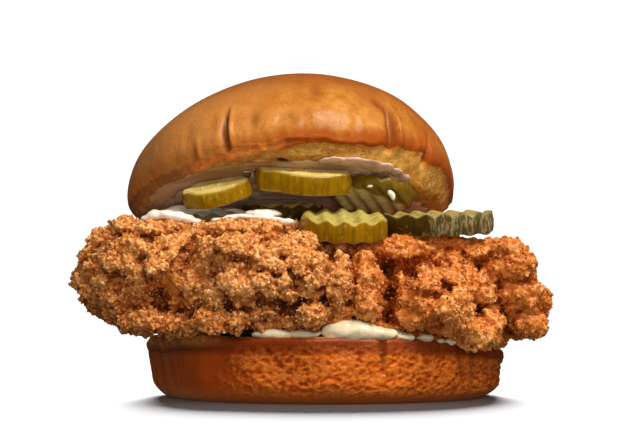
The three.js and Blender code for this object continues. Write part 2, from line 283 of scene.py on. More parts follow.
# %% A material and its patterns
class Finish:
    """A material that is being written: its tree, its Principled shader, and pattern makers."""

    def __init__(self, name):
        self.material = bpy.data.materials.new(name)
        self.material.use_nodes = True
        self.tree = self.material.node_tree
        self.shader = next(n for n in self.tree.nodes if n.type == "BSDF_PRINCIPLED")
        metres = self.node("ShaderNodeTexCoord", out="Object")
        self.place = self.node(
            "ShaderNodeVectorMath", {"operation": "SCALE"}, {"Vector": metres, "Scale": 1 / MM}
        )

    def node(self, kind, settings=None, sockets=None, out=0):
        box = self.tree.nodes.new(kind)
        for name, value in (settings or {}).items():
            setattr(box, name, value)
        for name, value in (sockets or {}).items():
            fill(self.tree, box.inputs[name], value)
        return Flow(self.tree, box.outputs[out])

    def noise(self, pitch, detail=3.0, rough=0.55, place=None, bend=0.0):
        sockets = {"Vector": place or self.place, "Scale": 1 / pitch, "Detail": detail}
        sockets.update({"Roughness": rough, "Distortion": bend})
        return self.node("ShaderNodeTexNoise", None, sockets, out="Fac")

    def cells(self, pitch, place=None):
        """The distance to the nearest of many random points about a pitch apart."""
        sockets = {"Vector": place or self.place, "Scale": 1 / pitch}
        return self.node("ShaderNodeTexVoronoi", None, sockets, out="Distance")

    def stored(self, name, out="Fac"):
        return self.node("ShaderNodeAttribute", {"attribute_name": name}, None, out)

    def parts(self, vector):
        """A vector's x, y and z."""
        box = self.tree.nodes.new("ShaderNodeSeparateXYZ")
        fill(self.tree, box.inputs[0], vector)
        return [Flow(self.tree, output) for output in box.outputs]

    def stretched(self, vector, x, y, z):
        return self.node(
            "ShaderNodeVectorMath", {"operation": "MULTIPLY"}, {0: vector, 1: (x, y, z)}
        )

    def mix(self, share, first, second):
        """A colour between two others: the first at share 0, the second at share 1."""
        box = self.tree.nodes.new("ShaderNodeMix")
        box.data_type = "RGBA"
        box.clamp_factor = True
        places = (box.inputs[i] for i in (0, 6, 7))
        for place, value in zip(places, (share, first, second)):
            fill(self.tree, place, value if isinstance(value, (Flow, float, int)) else (*value, 1))
        return Flow(self.tree, box.outputs[2])

    def ramp(self, share, stops):
        """Colours at places from 0 to 1."""
        box = self.tree.nodes.new("ShaderNodeValToRGB")
        marks = box.color_ramp.elements
        while len(marks) < len(stops):
            marks.new(0.5)
        for one, (at, colour) in zip(marks, stops):
            one.position = at
            one.color = (*colour, 1)
        fill(self.tree, box.inputs[0], share)
        return Flow(self.tree, box.outputs[0])

    def bump(self, height, depth):
        """A normal from a height from 0 to 1 that stands for a depth in millimetres."""
        return self.node("ShaderNodeBump", None, {"Height": height, "Distance": depth * MM})

    def set(self, **sockets):
        """Fills the shader's own sockets: base_color stands for Base Color."""
        names = {i.name.lower().replace(" ", "_"): i.name for i in self.shader.inputs if i.enabled}
        for name, value in sockets.items():
            place = self.shader.inputs[names[name]]
            if isinstance(value, tuple) and len(value) == 3 and place.type == "RGBA":
                value = (*value, 1)
            fill(self.tree, place, value)
        return self.material


# %% [markdown]
# ## The crown
#
# The top of the bun is a glazed dome. Its skin shrank as it cooled, so it is pinched into short
# upright folds above the cut. Below them runs a matt strip of side crust, then the cut face
# with its open crumb. A spun profile gives even rows of corners to sculpt: the folds follow
# the bearing round the bun and the height above the cut, which are columns of the array.

# %% The crown's sizes
CROWN_CENTRE = (-10.6, 5, 56.9)
CROWN_TILT, CROWN_ROLL = 18.9, 2.3
CUT_RADIUS, BAND_RADIUS, BAND_HEIGHT = 49.2, 49.8, 2.8
WIDEST_RADIUS, WIDEST_HEIGHT, DOME_RISE = 51.2, 6.5, 34.6
APEX_SHIFT, SHOULDER_SLIM, CUT_SAG = 3.6, 1.3, 2.6
# How far the skin steps in where the glaze ends and at the foot of the lip, and how far the
# crumb draws back below that.
GLAZE_STEP, LIP_STEP, CRUMB_STEP = 0.75, 0.6, 1.6
CUT_FACE = 0.35  # corners lower than this above the cut belong to its face
BUBBLE, BUBBLE_DEPTH = (-1.6, -43.6, 2.0, 1.9), 3.2  # its middle on the cut and half-sizes

crown_place = (
    Matrix.Translation(CROWN_CENTRE)
    @ Matrix.Rotation(math.radians(-CROWN_ROLL), 4, "Y")
    @ Matrix.Rotation(math.radians(-CROWN_TILT), 4, "X")
)


def placed(points, matrix):
    """Points carried by a 4 by 4 matrix."""
    turn = np.array(matrix.to_3x3())
    return points @ turn.T + np.array(matrix.translation)


def bearings(points):
    """Degrees round Z, 0 at +X and 270 at the front."""
    return np.degrees(np.arctan2(points[:, 1], points[:, 0])) % 360


# %% The crown's folds and dents
# Folds: bearing and height of the foot, then of the head, half-width, depth, and how far the
# skin is pinched up beside it, left and right.
FOLDS = [
    ((250.0, 2.6), (248.2, 18.5), 0.8, 1.8, 0.0, 1.1),
    ((236.6, 1.8), (236.2, 9.0), 1.2, 0.9, 0.0, 0.9),
    ((308.0, 4.0), (308.5, 21.0), 1.3, 2.6, 0.5, 1.4),
    ((317.3, 5.0), (317.8, 13.0), 1.5, 1.1, 0.2, 0.4),
    ((325.4, 4.5), (327.4, 15.0), 0.8, 1.3, 0.6, 0.1),
    ((214.6, 1.0), (211.8, 8.0), 0.7, 0.6, 0.3, 0.1),
    ((203.5, 1.0), (205.0, 6.5), 0.8, 0.6, 0.2, 0.2),
    ((228.0, 3.0), (228.8, 9.0), 1.6, 0.5, 0.2, 0.2),
    ((263.5, 2.0), (262.0, 8.5), 1.0, 0.5, 0.2, 0.3),
    ((121.0, 3.0), (118.0, 15.0), 1.2, 1.4, 0.5, 0.5),
    ((62.0, 3.0), (64.0, 17.0), 1.3, 1.5, 0.6, 0.4),
    ((12.0, 3.0), (10.0, 12.0), 1.2, 0.9, 0.3, 0.4),
    ((165.0, 2.0), (167.0, 11.0), 1.1, 0.9, 0.4, 0.3),
]
# Dents: bearing, height, half-width, half-height and depth.
DENTS = [
    (258.6, 11.5, 2.4, 4.2, 0.8), (270.2, 11.6, 3.4, 2.6, 0.6), (279.5, 21.6, 2.6, 3.4, 0.7),
    (304.4, 19.6, 2.2, 3.0, 1.0), (325.2, 5.4, 1.6, 1.8, 1.2), (244.0, 12.0, 2.6, 3.6, 0.4),
    (234.0, 10.0, 2.0, 3.0, 0.4), (248.2, 10.0, 1.2, 4.0, 0.6), (314.0, 9.0, 1.6, 4.0, 0.5),
    (90.0, 12.0, 4.0, 4.0, 0.6), (146.0, 18.0, 4.0, 5.0, 0.6), (34.0, 16.0, 4.0, 4.0, 0.5),
]

# %% Where the glaze, the lip and the sauce end
# The glaze's end is a height above the cut at bearings round the bun. Below it comes a lip of
# matt crust, and below the lip's foot the crumb is open. The soaked-in sauce ends on the cut
# at a radius.
GLAZE_END = [
    (0, 4.4), (30, 3.2), (90, 2.8), (150, 3.2), (181, 4.0), (204, 2.3), (221, 1.7), (232, 1.9),
    (243, 1.6), (248, 1.6), (251, 2.8), (258, 3.3), (264, 2.7), (270, 4.4), (283, 4.2), (288, 3.7),
    (297, 4.2), (307, 5.8), (314, 6.3), (324, 7.4), (326, 5.6), (337, 6.3), (345, 5.6),
]
LIP_FOOT = [
    (0, 3.5), (30, 1.6), (90, 0.8), (150, 0.8), (183, 1.0), (198, 0.2), (212, -0.4), (224, 0.0),
    (242, -0.2), (250, 0.3), (258, 1.5), (267, 1.6), (275, 3.0), (283, 3.2), (297, 3.5),
    (307, 5.1), (314, 5.7), (324, 6.5), (327, 4.8), (337, 5.7), (345, 4.9),
]
SAUCE_EDGE = [
    (0, 26), (60, 28), (120, 34), (176, 46.5), (190, 48.8), (236, 48.8), (250, 47.0), (262, 45.0),
    (270, 45.8), (285, 46.9), (300, 47.4), (310, 46.4), (318, 44.8), (329, 41), (338, 34),
    (350, 28),
]


def by_bearing(table, angle):
    at, value = zip(*table)
    return np.interp(angle, at, value, period=360)


# %% The crown's profile
def crown_profile():
    quarter = [math.pi / 2 * i / 60 for i in range(61)]
    dome = [
        (WIDEST_RADIUS * math.cos(turn), WIDEST_HEIGHT + DOME_RISE * math.sin(turn))
        for turn in quarter
    ]
    dome[-1] = (0, WIDEST_HEIGHT + DOME_RISE)
    band = [
        (CUT_RADIUS - 0.9, 0), (CUT_RADIUS, 0.4), (BAND_RADIUS, BAND_HEIGHT * 0.6),
        (BAND_RADIUS + 0.4, BAND_HEIGHT), (WIDEST_RADIUS - 0.3, WIDEST_HEIGHT * 0.7),
    ]
    face = evenly([(0, 0), (CUT_RADIUS - 0.9, 0)], 0.8)[:-1]
    return np.concatenate([face, evenly(band, 0.4)[:-1], evenly([band[-1], *dome], 0.75)])


# %% Folding the skin
def across_skin(angle, at):
    """Millimetres round the crown's widest circle from a bearing."""
    return np.radians((angle - at + 180) % 360 - 180) * WIDEST_RADIUS


def pinched(angle, height, skin):
    """How far folds and dents push the skin out, and how deep each place is pinched, for painted
    shade.
    """
    push, pinch = np.zeros(len(angle)), np.zeros(len(angle))
    for (foot_at, foot_up), (head_at, head_up), half, depth, left, right in FOLDS:
        share = np.clip((height - foot_up) / (head_up - foot_up), 0, 1)
        across = across_skin(angle, foot_at + (head_at - foot_at) * share)
        along = step_up(height, foot_up - 1, foot_up + 1.5)
        along = along * (1 - step_up(height, head_up - 9, head_up + 1.5))
        # A fold slopes gently on its left and steeply on its right, under a crisp ridge.
        valley = depth * hill(across, half * np.where(across > 0, 0.7, 1.9)) * along
        pinch += valley
        push += along * left * hill(across + 2.6 * half, 1.2 * half) - valley
        push += along * right * hill(across - 1.5 * half, 0.7 * half)
    for at, up_to, wide, high, depth in DENTS:
        dent = depth * hill(across_skin(angle, at), wide) * hill(height - up_to, high) * skin
        pinch += 1.5 * dent
        push -= dent
    return push, pinch


# %% The skin and its lower edge
def crown_skin(local, radius, height, angle, up):
    """How far the glazed skin swells and folds, and how deep it is pinched, for painted shade."""
    skin = np.clip(step_up(radius, 40, 48) + step_up(height, 6, 14), 0, 1)
    swell = 0.7 * soft_noise(local, 34, 3.1) + 0.35 * soft_noise(local, 15, 8.4)
    push = skin * swell - SHOULDER_SLIM * hill(up - 0.68, 0.24)
    # Faint upright ripples where the skin draws in above the cut.
    ring = local / radius[:, None] * [WIDEST_RADIUS, WIDEST_RADIUS, 0]
    ring[:, 2] = height * 0.12
    rippled = window(height, 3, 9, 6) * (1 - 0.7 * window(angle, 185, 238, 12))
    push += 0.32 * soft_noise(ring, 2.6, 5.5) * rippled
    folds, pinch = pinched(angle, height, skin)
    return push + folds, pinch


def crown_edge(local, radius, height, angle):
    """How far the skin steps in low down, and each place's height above glaze end and crumb."""
    # The cut's edge is ragged, the crust stands out over it, and at the front it blisters.
    flat = local * [1, 1, 0]
    ragged = 0.45 * soft_noise(flat, 4.5, 1.7) + 0.35 * soft_noise(flat, 1.8, 6.1)
    above_glaze = height - by_bearing(GLAZE_END, angle) - ragged
    above_crumb = height - by_bearing(LIP_FOOT, angle) - ragged
    edge = step_up(radius, 44, 48)
    push = -edge * GLAZE_STEP * (1 - step_up(above_glaze, -0.7, 0.1))
    push -= edge * LIP_STEP * (1 - step_up(above_crumb, -0.5, 0.2))
    lower = np.clip(-above_crumb / 6, 0, 1) * edge
    push -= CRUMB_STEP * lower - 0.55 * lower ** 0.5 * soft_noise(local, 1.7, 8.8)
    blister = window(above_glaze, -1.6, 0.3, 0.6) * window(angle, 262, 296, 8)
    push += blister * (0.35 + 0.8 * np.maximum(soft_noise(local, 1.5, 2.2), 0))
    return push, above_glaze, above_crumb


# %% The cut face
def crown_cut(local, radius, height, angle):
    """How far the open crumb rises, where sauce soaked in, and where one large bubble opened."""
    crumb = (height < CUT_FACE) * 1.0
    flat = local * [1, 1, 0]
    pores = soft_noise(flat, 2.1, 4.4) * 0.45 + soft_noise(flat, 6.5, 9.3) * 0.4
    inside_edge = by_bearing(SAUCE_EDGE, angle) - radius + 0.9 * soft_noise(flat, 5.2, 2.6)
    sauced = crumb * step_up(inside_edge, -0.4, 0.7)
    pores = pores * (1 - sauced) - sauced * (0.7 + 0.5 * soft_noise(flat, 8.0, 3.8))
    x, y, half_x, half_y = BUBBLE
    bubble = crumb * hill(np.hypot((local[:, 0] - x) / half_x, (local[:, 1] - y) / half_y), 1)
    return crumb * step_up(radius, 8, 20) * pores + BUBBLE_DEPTH * bubble, sauced, bubble


# %% Sculpting the crown
def sculpt_crown(crown):
    local = points_of(crown)
    radius = np.maximum(np.hypot(local[:, 0], local[:, 1]), 1e-6)
    height, angle = local[:, 2].copy(), bearings(local)
    up = height / (WIDEST_HEIGHT + DOME_RISE)
    skin_push, pinch = crown_skin(local, radius, height, angle, up)
    edge_push, above_glaze, above_crumb = crown_edge(local, radius, height, angle)
    rise, sauced, bubble = crown_cut(local, radius, height, angle)
    # The cut face is open crumb right up to its edge, however low the lip hangs there.
    above_crumb -= 2 * (height < CUT_FACE) * (1 - step_up(radius, 47.2, 48.6))
    flat = local * [1, 1, 0]
    wavy = 0.8 * soft_noise(flat, 9, 1.7) + 0.5 * soft_noise(flat, 3.2, 6.1)
    drop = (1 - step_up(height, 0.5, 5)) * step_up(radius, 44, 48) * wavy
    sag = CUT_SAG * hill(local[:, 0] - 40, 15) * hill(local[:, 1] + 20, 24)
    shaped = local.copy()
    shaped[:, :2] *= (1 + (skin_push + edge_push) / radius)[:, None]
    shaped[:, 0] += APEX_SHIFT * up * up
    shaped[:, 2] += drop - sag * (1 - step_up(height, 0.2, 9)) + rise
    put_points(crown, placed(shaped, crown_place))
    mark(crown, "crown_place", np.stack([angle, radius, height], axis=1))
    marks = {"pinch": pinch, "above_glaze": above_glaze, "above_crumb": above_crumb}
    for name, values in {**marks, "sauced": sauced, "bubble": bubble}.items():
        mark(crown, name, values)


crown = turned(crown_profile(), 480, "glazed_crown")
sculpt_crown(crown)
print("crown", len(crown.data.polygons), "faces")

# %% [markdown]
# The dome was brushed with glaze: gold where it faces the front and browner towards the top.
# Just above the cut it is painted red-brown, as painted shade where the dome curves under; its
# folds are painted darker as shade, and its left side paler as painted fill light. A thin coat
# over a duller base gives the sharp highlight on top of the soft one. The crumb is cream, with
# painted shade in its pores.

# %% Glazed skin
def glazed_skin(look, angle, height, glaze, pinch, mottle, grain):
    """The colour of the glazed dome, and how far the underside reaches that is painted darker as
    shade.
    """
    cloud = look.noise(17, 3)
    browned = (height + (cloud - 0.5) * 26).rising(12, 36)
    gold = look.mix(mottle.rising(0.3, 0.75), (0.43, 0.130, 0.009), (0.62, 0.262, 0.040))
    colour = look.mix(browned * 0.92, gold, (0.36, 0.080, 0.005))
    # The left side is painted paler, as painted fill light, and the right side browner, both fading
    # towards the top.
    low_down = 1 - height.rising(20, 36)
    leftwards = (1 - angle.rising(236, 284)) * angle.rising(150, 200) * low_down
    colour = look.mix(leftwards * 0.75, colour, (0.60, 0.225, 0.048))
    rightwards = angle.rising(312, 326) * (1 - angle.rising(330, 356)) * low_down
    colour = look.mix(rightwards * 0.6, colour, (0.38, 0.070, 0.004))
    # Painted shade: just above the cut, where the dome curves in under itself, the skin is painted
    # red-brown, less on the painted-light left side.
    underside = 1 - (glaze + (mottle - 0.5) * 4).rising(0.6, 6.5)
    colour = look.mix(underside * (0.95 - leftwards * 0.6), colour, (0.33, 0.055, 0.001))
    # Painted shade: the folds and dents are painted darker, the deeper they are pinched.
    colour = look.mix((pinch * 0.6).rising(0, 1) * 0.75, colour, (0.22, 0.038, 0.002))
    colour = look.mix(grain.rising(0.45, 0.75) * 0.35, colour, (0.30, 0.065, 0.004))
    freckle = 1 - look.cells(1.9).rising(0.05, 0.14)
    return look.mix(freckle * 0.30, colour, (0.26, 0.06, 0.006)), underside


# %% The lip
def lip_skin(look, angle, torn):
    """The matt lip: brown at the left, torn and orange at the front."""
    front_left = angle.rising(226, 240) * (1 - angle.rising(262, 276))
    front_right = angle.rising(262, 274) * (1 - angle.rising(330, 356))
    colour = look.mix(front_left, (0.33, 0.115, 0.030), (0.70, 0.200, 0.035))
    colour = look.mix(front_right, colour, (0.34, 0.060, 0.004))
    return look.mix(torn.rising(0.48, 0.72) * 0.6, colour, (0.20, 0.040, 0.004))


# %% Open crumb
def open_crumb(look, angle, radius, mottle, pore, under_crust, sauced):
    """Cream crumb, darker in its pores as painted shade and along the crust, with a tan film of
    sauce that is partly painted shade.
    """
    cream = look.noise(2.6, 4, 0.65).rising(0.35, 0.7)
    crumb = look.mix(cream, (0.48, 0.200, 0.028), (0.65, 0.345, 0.076))
    # Painted shade: the pores are painted dark brown.
    crumb = look.mix(pore * 0.6, crumb, (0.34, 0.11, 0.01))
    crumb = look.mix(under_crust * 0.4, crumb, (0.50, 0.17, 0.014))
    right = angle.rising(262, 300) * (1 - angle.rising(330, 356))
    # The film's tan is partly painted shade under the crown. Towards the lip, and most at the front
    # left, it is painted darker still, as painted shade under the overhanging lip.
    film = look.mix(right * (0.6 + mottle * 0.4), (0.72, 0.455, 0.27), (0.66, 0.43, 0.29))
    left_rim = radius.rising(42.5, 48) * (1 - angle.rising(250, 275))
    film = look.mix(left_rim * 0.7, film, (0.50, 0.24, 0.085))
    front_left = angle.rising(224, 240) * (1 - angle.rising(262, 275))
    film = look.mix(front_left * 0.8, film, (0.34, 0.17, 0.07))
    return look.mix(sauced * 0.9, crumb, film)


# %% The crown's finish
def glazed_crust():
    look = Finish("glazed_crust")
    angle, radius, height = look.parts(look.stored("crown_place", "Vector"))
    glaze, crumb_depth = look.stored("above_glaze"), look.stored("above_crumb")
    mottle = look.noise(4.5, 4, 0.6)
    grain = look.noise(0.55, 3, 0.65)
    torn = look.noise(1.3, 4, 0.7)
    skin, underside = glazed_skin(
        look, angle, height, glaze, look.stored("pinch"), mottle, grain)
    lip = 1 - glaze.rising(-0.25, 0.15)
    colour = look.mix(lip, skin, lip_skin(look, angle, torn))
    inside = 1 - (crumb_depth + (torn - 0.5) * 0.7).rising(-0.2, 0.15)
    # The crumb's pores, for the painted shade in them.
    pore = (1 - look.cells(1.25).rising(0.10, 0.30)) * look.noise(6, 2).rising(0.46, 0.62)
    sauced = look.stored("sauced").rising(0.2, 0.8)
    under_crust = crumb_depth.rising(-1.2, 0) * inside
    crumb = open_crumb(look, angle, radius, mottle, pore, under_crust, sauced)
    colour = look.mix(inside, colour, crumb)
    # Painted shade: the open bubble's hollow is painted nearly black.
    colour = look.mix(look.stored("bubble").rising(0.25, 0.6), colour, (0.030, 0.010, 0.002))
    shine = (1 - inside) * (1 - lip * 0.6) * (1 - underside * 0.9)
    skin_relief = grain * 0.30 + look.noise(3.5, 2) * 0.35
    open_relief = look.noise(1.0, 4, 0.7) * 0.8 - pore * 0.6
    return look.set(
        base_color=colour,
        roughness=0.85 - shine * 0.42 - sauced * inside * 0.45,
        specular_ior_level=0.38,
        specular_tint=(1.0, 0.72, 0.38, 1),
        coat_weight=0.18 * shine,
        coat_roughness=0.20,
        subsurface_weight=0.06,
        subsurface_radius=(1.0, 0.4, 0.15),
        subsurface_scale=2 * MM,
        normal=look.bump(skin_relief * (1 - inside) + open_relief * inside * (1 - sauced), 0.9),
    )


finished(crown, glazed_crust(), "crown_crust", "bun_crown")

# %% [markdown]
# ## The heel
#
# The bottom half of the bun is a squat turned form that sags under the fillet's two ends. It
# has the same rows and columns as the crown, so it is spun and sculpted in the same way. Its
# side baked against its neighbours: a net of fine orange ridges lies round smooth darker
# cells. At the front left the knife tore a lip of crust, which hangs under the fillet.

# %% The heel's sizes
FOOT_RADIUS, CORNER_HEIGHT, WALL_RADIUS = 47.5, 8, 53
RIM_RADIUS, RIM_ROUND, HEEL_THICKNESS = 54.3, 1.6, 19.5
DROOP_LEFT, DROOP_RIGHT, DROOP_BACK = 2.6, 5.0, 1.5
LIP_REACH, LIP_HEIGHT = 0.9, 3.0
BLISTER_RISE = 0.55
CREASE_AT = 287.5  # the bearing of the one crease at the front
DEGREE = 0.93  # millimetres of wall in one degree


# %% The heel's profile
def heel_profile():
    flare, rim_from = WALL_RADIUS - FOOT_RADIUS, HEEL_THICKNESS - RIM_ROUND
    foot = [
        (FOOT_RADIUS + flare * math.cos(turn), CORNER_HEIGHT * (1 - math.sin(turn)))
        for turn in (math.pi / 2 * (1 - i / 12) for i in range(13))
    ]
    rim = [
        (RIM_RADIUS - RIM_ROUND * (1 - math.cos(turn)), rim_from + RIM_ROUND * math.sin(turn))
        for turn in (math.pi / 2 * i / 6 for i in range(7))
    ]
    side = evenly([(FOOT_RADIUS - 2, 0), *foot, *rim], 0.42)
    return np.concatenate([
        evenly([(0, 0), (FOOT_RADIUS - 2, 0)], 3)[:-1], side,
        evenly([rim[-1], (0, HEEL_THICKNESS)], 1.2)[1:],
    ])


def heel_top(x, y):
    side = np.where(x < 0, DROOP_LEFT, DROOP_RIGHT)
    return (
        HEEL_THICKNESS - side * (np.abs(x) / RIM_RADIUS) ** 3
        - DROOP_BACK * (np.maximum(0, y) / RIM_RADIUS) ** 2
    )


# %% The wall's wrinkles and blisters
def wall_relief(local, height, angle):
    """How far the wall swells, wrinkles and creases."""
    share = height / HEEL_THICKNESS
    ends = hill(angle - 182, 22) + hill((angle - 158) % 360 - 180, 30)
    push = 0.8 * soft_noise(local * [1, 1, 1.5], 31, 2.5) + 0.7 * soft_noise(local, 11, 7.5)
    push += ends * 0.7 * np.sin(np.radians(angle) * 46 + 2 * share)
    # Fine wrinkles stand upright at the left end and lie aslant at the right one.
    ring = np.stack([angle * DEGREE, height * 0.16, 0 * angle], axis=1)
    push += 0.25 * hill(angle - 190, 24) * soft_noise(ring, 1.7, 3.3)
    slant = np.stack([angle * DEGREE - height * 0.8, height * 0.5, 0 * angle], axis=1)
    push += 0.45 * hill(angle - 318, 22) * soft_noise(slant, 2.3, 6.2)
    # The crease has a soft shelf on its right.
    push -= hill(angle - CREASE_AT, 0.9) * step_up(share, 0.25, 0.9)
    shelf = step_up(angle, CREASE_AT, CREASE_AT + 1.5) * (1 - step_up(angle, 292, 300))
    return push + 0.5 * shelf * step_up(share, 0.3, 0.9)


def blisters(local, height, angle):
    """A net of soft ridges round the wall's blisters. The left end baked smooth."""
    smooth_end = step_up(angle, 140, 175) * (1 - step_up(angle, 222, 252))
    coarse = 1 - np.abs(soft_noise(local * [1, 1, 1.25], 2.2, 1.2)) * 2.2
    fine = 1 - np.abs(soft_noise(local * [1, 1, 1.2], 1.3, 8.2)) * 2.2
    net = np.clip(0.6 * coarse + 0.6 * fine, -0.6, 1.0)
    return net * (1 - smooth_end) * window(height, 3, 15.5, 2.5)


# %% The torn lip
def torn_lip(local, height, angle):
    """Where the lip hangs over the rim, and the line of shadow along its foot."""
    torn = step_up(angle, 183, 192) * (1 - step_up(angle, 225, 242))
    lip_from = HEEL_THICKNESS - LIP_HEIGHT + 0.7 * soft_noise(local * [1, 1, 0], 4.2, 5.5)
    lip = torn * step_up(height, lip_from - 0.4, lip_from + 0.4)
    return lip, torn * hill(height - lip_from + 0.5, 0.4)


# %% Sculpting the heel
def sculpt_heel(heel):
    local = points_of(heel)
    radius = np.maximum(np.hypot(local[:, 0], local[:, 1]), 1e-6)
    height, angle = local[:, 2], bearings(local)
    share = height / HEEL_THICKNESS
    net = blisters(local, height, angle)
    lip, shadow_line = torn_lip(local, height, angle)
    on_wall = step_up(radius, 44, 50) * np.minimum(1, share * 4)
    push = wall_relief(local, height, angle) + BLISTER_RISE * net - 0.3 * shadow_line
    push = on_wall * push + LIP_REACH * lip * step_up(radius, 46, 52)
    cut = (height > HEEL_THICKNESS - 0.05) * 1.0
    crumb = cut * (step_up(radius, 8, 20) * 0.35 * soft_noise(local, 2.3, 3.4) - 0.15)
    lift = 2.0 * lip * step_up(radius, 47, 52.5)
    shaped = local.copy()
    shaped[:, :2] *= (1 + push / radius)[:, None]
    shaped[:, 2] = heel_top(shaped[:, 0], shaped[:, 1]) * share + crumb + lift
    put_points(heel, shaped)
    mark(heel, "heel_place", np.stack([angle, radius, height], axis=1))
    mark(heel, "net", net)
    mark(heel, "lip", lip)
    # The lip's shadow line and the crease are stored for painted shade.
    mark(heel, "pinch", shadow_line + hill(angle - CREASE_AT, 0.8) * step_up(share, 0.3, 0.8))


heel = turned(heel_profile(), 640, "baked_heel")
sculpt_heel(heel)
print("heel", len(heel.data.polygons), "faces")

# %% [markdown]
# The sculpted blisters carry their own height, so the colour can follow them: their crests are
# golden, partly their own colour and partly a painted highlight, and the valleys between them are
# painted brown, as painted shade. A second, finer noise breaks both up. The left end is smooth
# and dark, and the strip under the rim is red-brown.

# %% Baked side
def baked_side(look, angle, height, net, fine, grain):
    """The colour of the wall: golden ridges with a painted highlight, brown cells with painted
    shade, a dark rim and left end.
    """
    cloud = look.noise(9, 3)
    left = angle.rising(140, 175) * (1 - angle.rising(206, 236))
    under_rim = height.rising(13.6, 16.4)
    base = look.mix(cloud.rising(0.35, 0.68), (0.40, 0.050, 0.002), (0.55, 0.078, 0.003))
    # The crests are golden: partly the crust's own colour, partly a painted highlight.
    crest = (net * 1.0 + (grain - 0.5) * 1.4 - 0.12).rising(0.1, 0.8)
    ridge = look.mix(fine, (0.70, 0.135, 0.007), (0.92, 0.30, 0.040))
    colour = look.mix(crest * (0.55 + cloud * 0.4) * (1 - under_rim * 0.85), base, ridge)
    # Painted shade: the valleys between the blisters are painted darker.
    valley = 1 - (net + (grain - 0.5) * 0.8).rising(-0.5, 0.15)
    colour = look.mix(valley * 0.4 * (1 - left), colour, (0.22, 0.030, 0.002))
    rim = look.mix(grain, (0.15, 0.020, 0.002), (0.27, 0.038, 0.003))
    colour = look.mix(under_rim * 0.85, colour, rim)
    left_end = look.mix(grain, (0.27, 0.046, 0.004), (0.46, 0.100, 0.012))
    colour = look.mix(left * 0.72, colour, left_end)
    low = 1 - (height + (cloud - 0.5) * 5).rising(1.5, 6.5)
    colour = look.mix(low * 0.55, colour, (0.54, 0.130, 0.016))
    tan_foot = left * (1 - (height + (fine - 0.5) * 3).rising(1.0, 4.5))
    return look.mix(tan_foot * 0.6, colour, (0.46, 0.19, 0.06))


# %% The heel's finish
def side_crust():
    look = Finish("side_crust")
    angle, radius, height = look.parts(look.stored("heel_place", "Vector"))
    fine = look.noise(0.9, 3, 0.6)
    grain = look.noise(1.7, 4, 0.65)
    colour = baked_side(look, angle, height, look.stored("net"), fine, grain)
    torn = look.mix(grain.rising(0.4, 0.62), (0.70, 0.24, 0.045), (0.42, 0.10, 0.012))
    colour = look.mix(look.stored("lip") * 0.9, colour, torn)
    # Painted shade: the crease and the line along the torn lip's foot are painted nearly black.
    colour = look.mix(look.stored("pinch") * 0.75, colour, (0.11, 0.02, 0.004))
    # The cut face: cream crumb, with painted shade in its pores.
    cut = height.rising(19.3, 19.45)
    pore = 1 - look.cells(1.5).rising(0.10, 0.30)
    crumb = look.mix(look.noise(3, 4, 0.65), (0.66, 0.42, 0.16), (0.80, 0.58, 0.28))
    colour = look.mix(cut, colour, look.mix(pore * 0.7, crumb, (0.33, 0.15, 0.035)))
    return look.set(
        base_color=colour,
        roughness=0.36 + cut * 0.46 + (fine - 0.5) * 0.2,
        specular_ior_level=0.45,
        specular_tint=(1.0, 0.72, 0.40, 1),
        coat_weight=0.10 * (1 - cut),
        coat_roughness=0.25,
        subsurface_weight=0.06,
        subsurface_radius=(1.0, 0.45, 0.2),
        subsurface_scale=2 * MM,
        normal=look.bump(fine * 0.45 + grain * 0.7, 0.55),
    )


finished(heel, side_crust(), "heel_crust", "bun_heel")

# %% [markdown]
# ## The pickle chips
#
# Crinkle-cut slices of gherkin stand their green rims forward under the crown. One chip is a
# grid stretched from a square to a disc, extruded to its thickness and remeshed so that its
# edge rounds off. Both faces then take the blade's wave. The rim keeps its olive peel, with
# upright streaks, and the faces are pale wet flesh with seeds in the middle.

# %% The chips' places
# Where the middle is, the two half-sizes, the thickness, nose, roll and the ridges' turn.
# Last come the blade's wave on the top face and on the underside, and its pitch.
CHIPS = {
    "pickle_left": ((-32.4, -31.5, 61.8), (10.4, 8.3), 5.0, 15, -12, 84, (0.35, 0.2, 5.3)),
    "pickle_centre": ((-6.8, -32, 65.6), (14.2, 7.8), 6.2, 14, 4, 96, (0.35, 0.25, 5.3)),
    "pickle_right": ((14, -19.5, 61.6), (12.6, 12), 3.4, -20, 5, -19, (0.5, 0.45, 4.0)),
    "pickle_front": ((5, -37.8, 51.6), (13, 12.2), 6.0, 11, 2, 2, (0.6, 0.25, 5.3)),
    "pickle_long": ((33.4, -30, 52.6), (16.4, 12.5), 6.3, 4, -1.5, 6, (0.55, 0.3, 5.3)),
    "pickle_inner": ((-13.2, -18, 56), (12.2, 10.5), 5.4, 3, 0, 30, (0.5, 0.3, 5.3)),
    "pickle_shade": ((-38, -25, 52), (10.5, 9.5), 4.6, 8, -4, 10, (0.5, 0.3, 5.3)),
}


# %% One chip
def flat_chip(name, half_x, half_y, thick):
    """An oval slice with a rounded edge, lying flat."""
    bm = bmesh.new()
    bmesh.ops.create_grid(bm, x_segments=28, y_segments=28, size=1)
    for corner in bm.verts:
        x, y, _ = corner.co
        corner.co.x = half_x * MM * x * math.sqrt(1 - y * y / 2)
        corner.co.y = half_y * MM * y * math.sqrt(1 - x * x / 2)
    made = bmesh.ops.extrude_face_region(bm, geom=bm.faces[:])
    risen = [part for part in made["geom"] if isinstance(part, bmesh.types.BMVert)]
    bmesh.ops.translate(bm, verts=risen, vec=(0, 0, thick * MM))
    bmesh.ops.translate(bm, verts=bm.verts, vec=(0, 0, -thick * MM / 2))
    bmesh.ops.recalc_face_normals(bm, faces=bm.faces)
    return smoothed(remeshed(piece_from(bm, name), 0.42), 3)


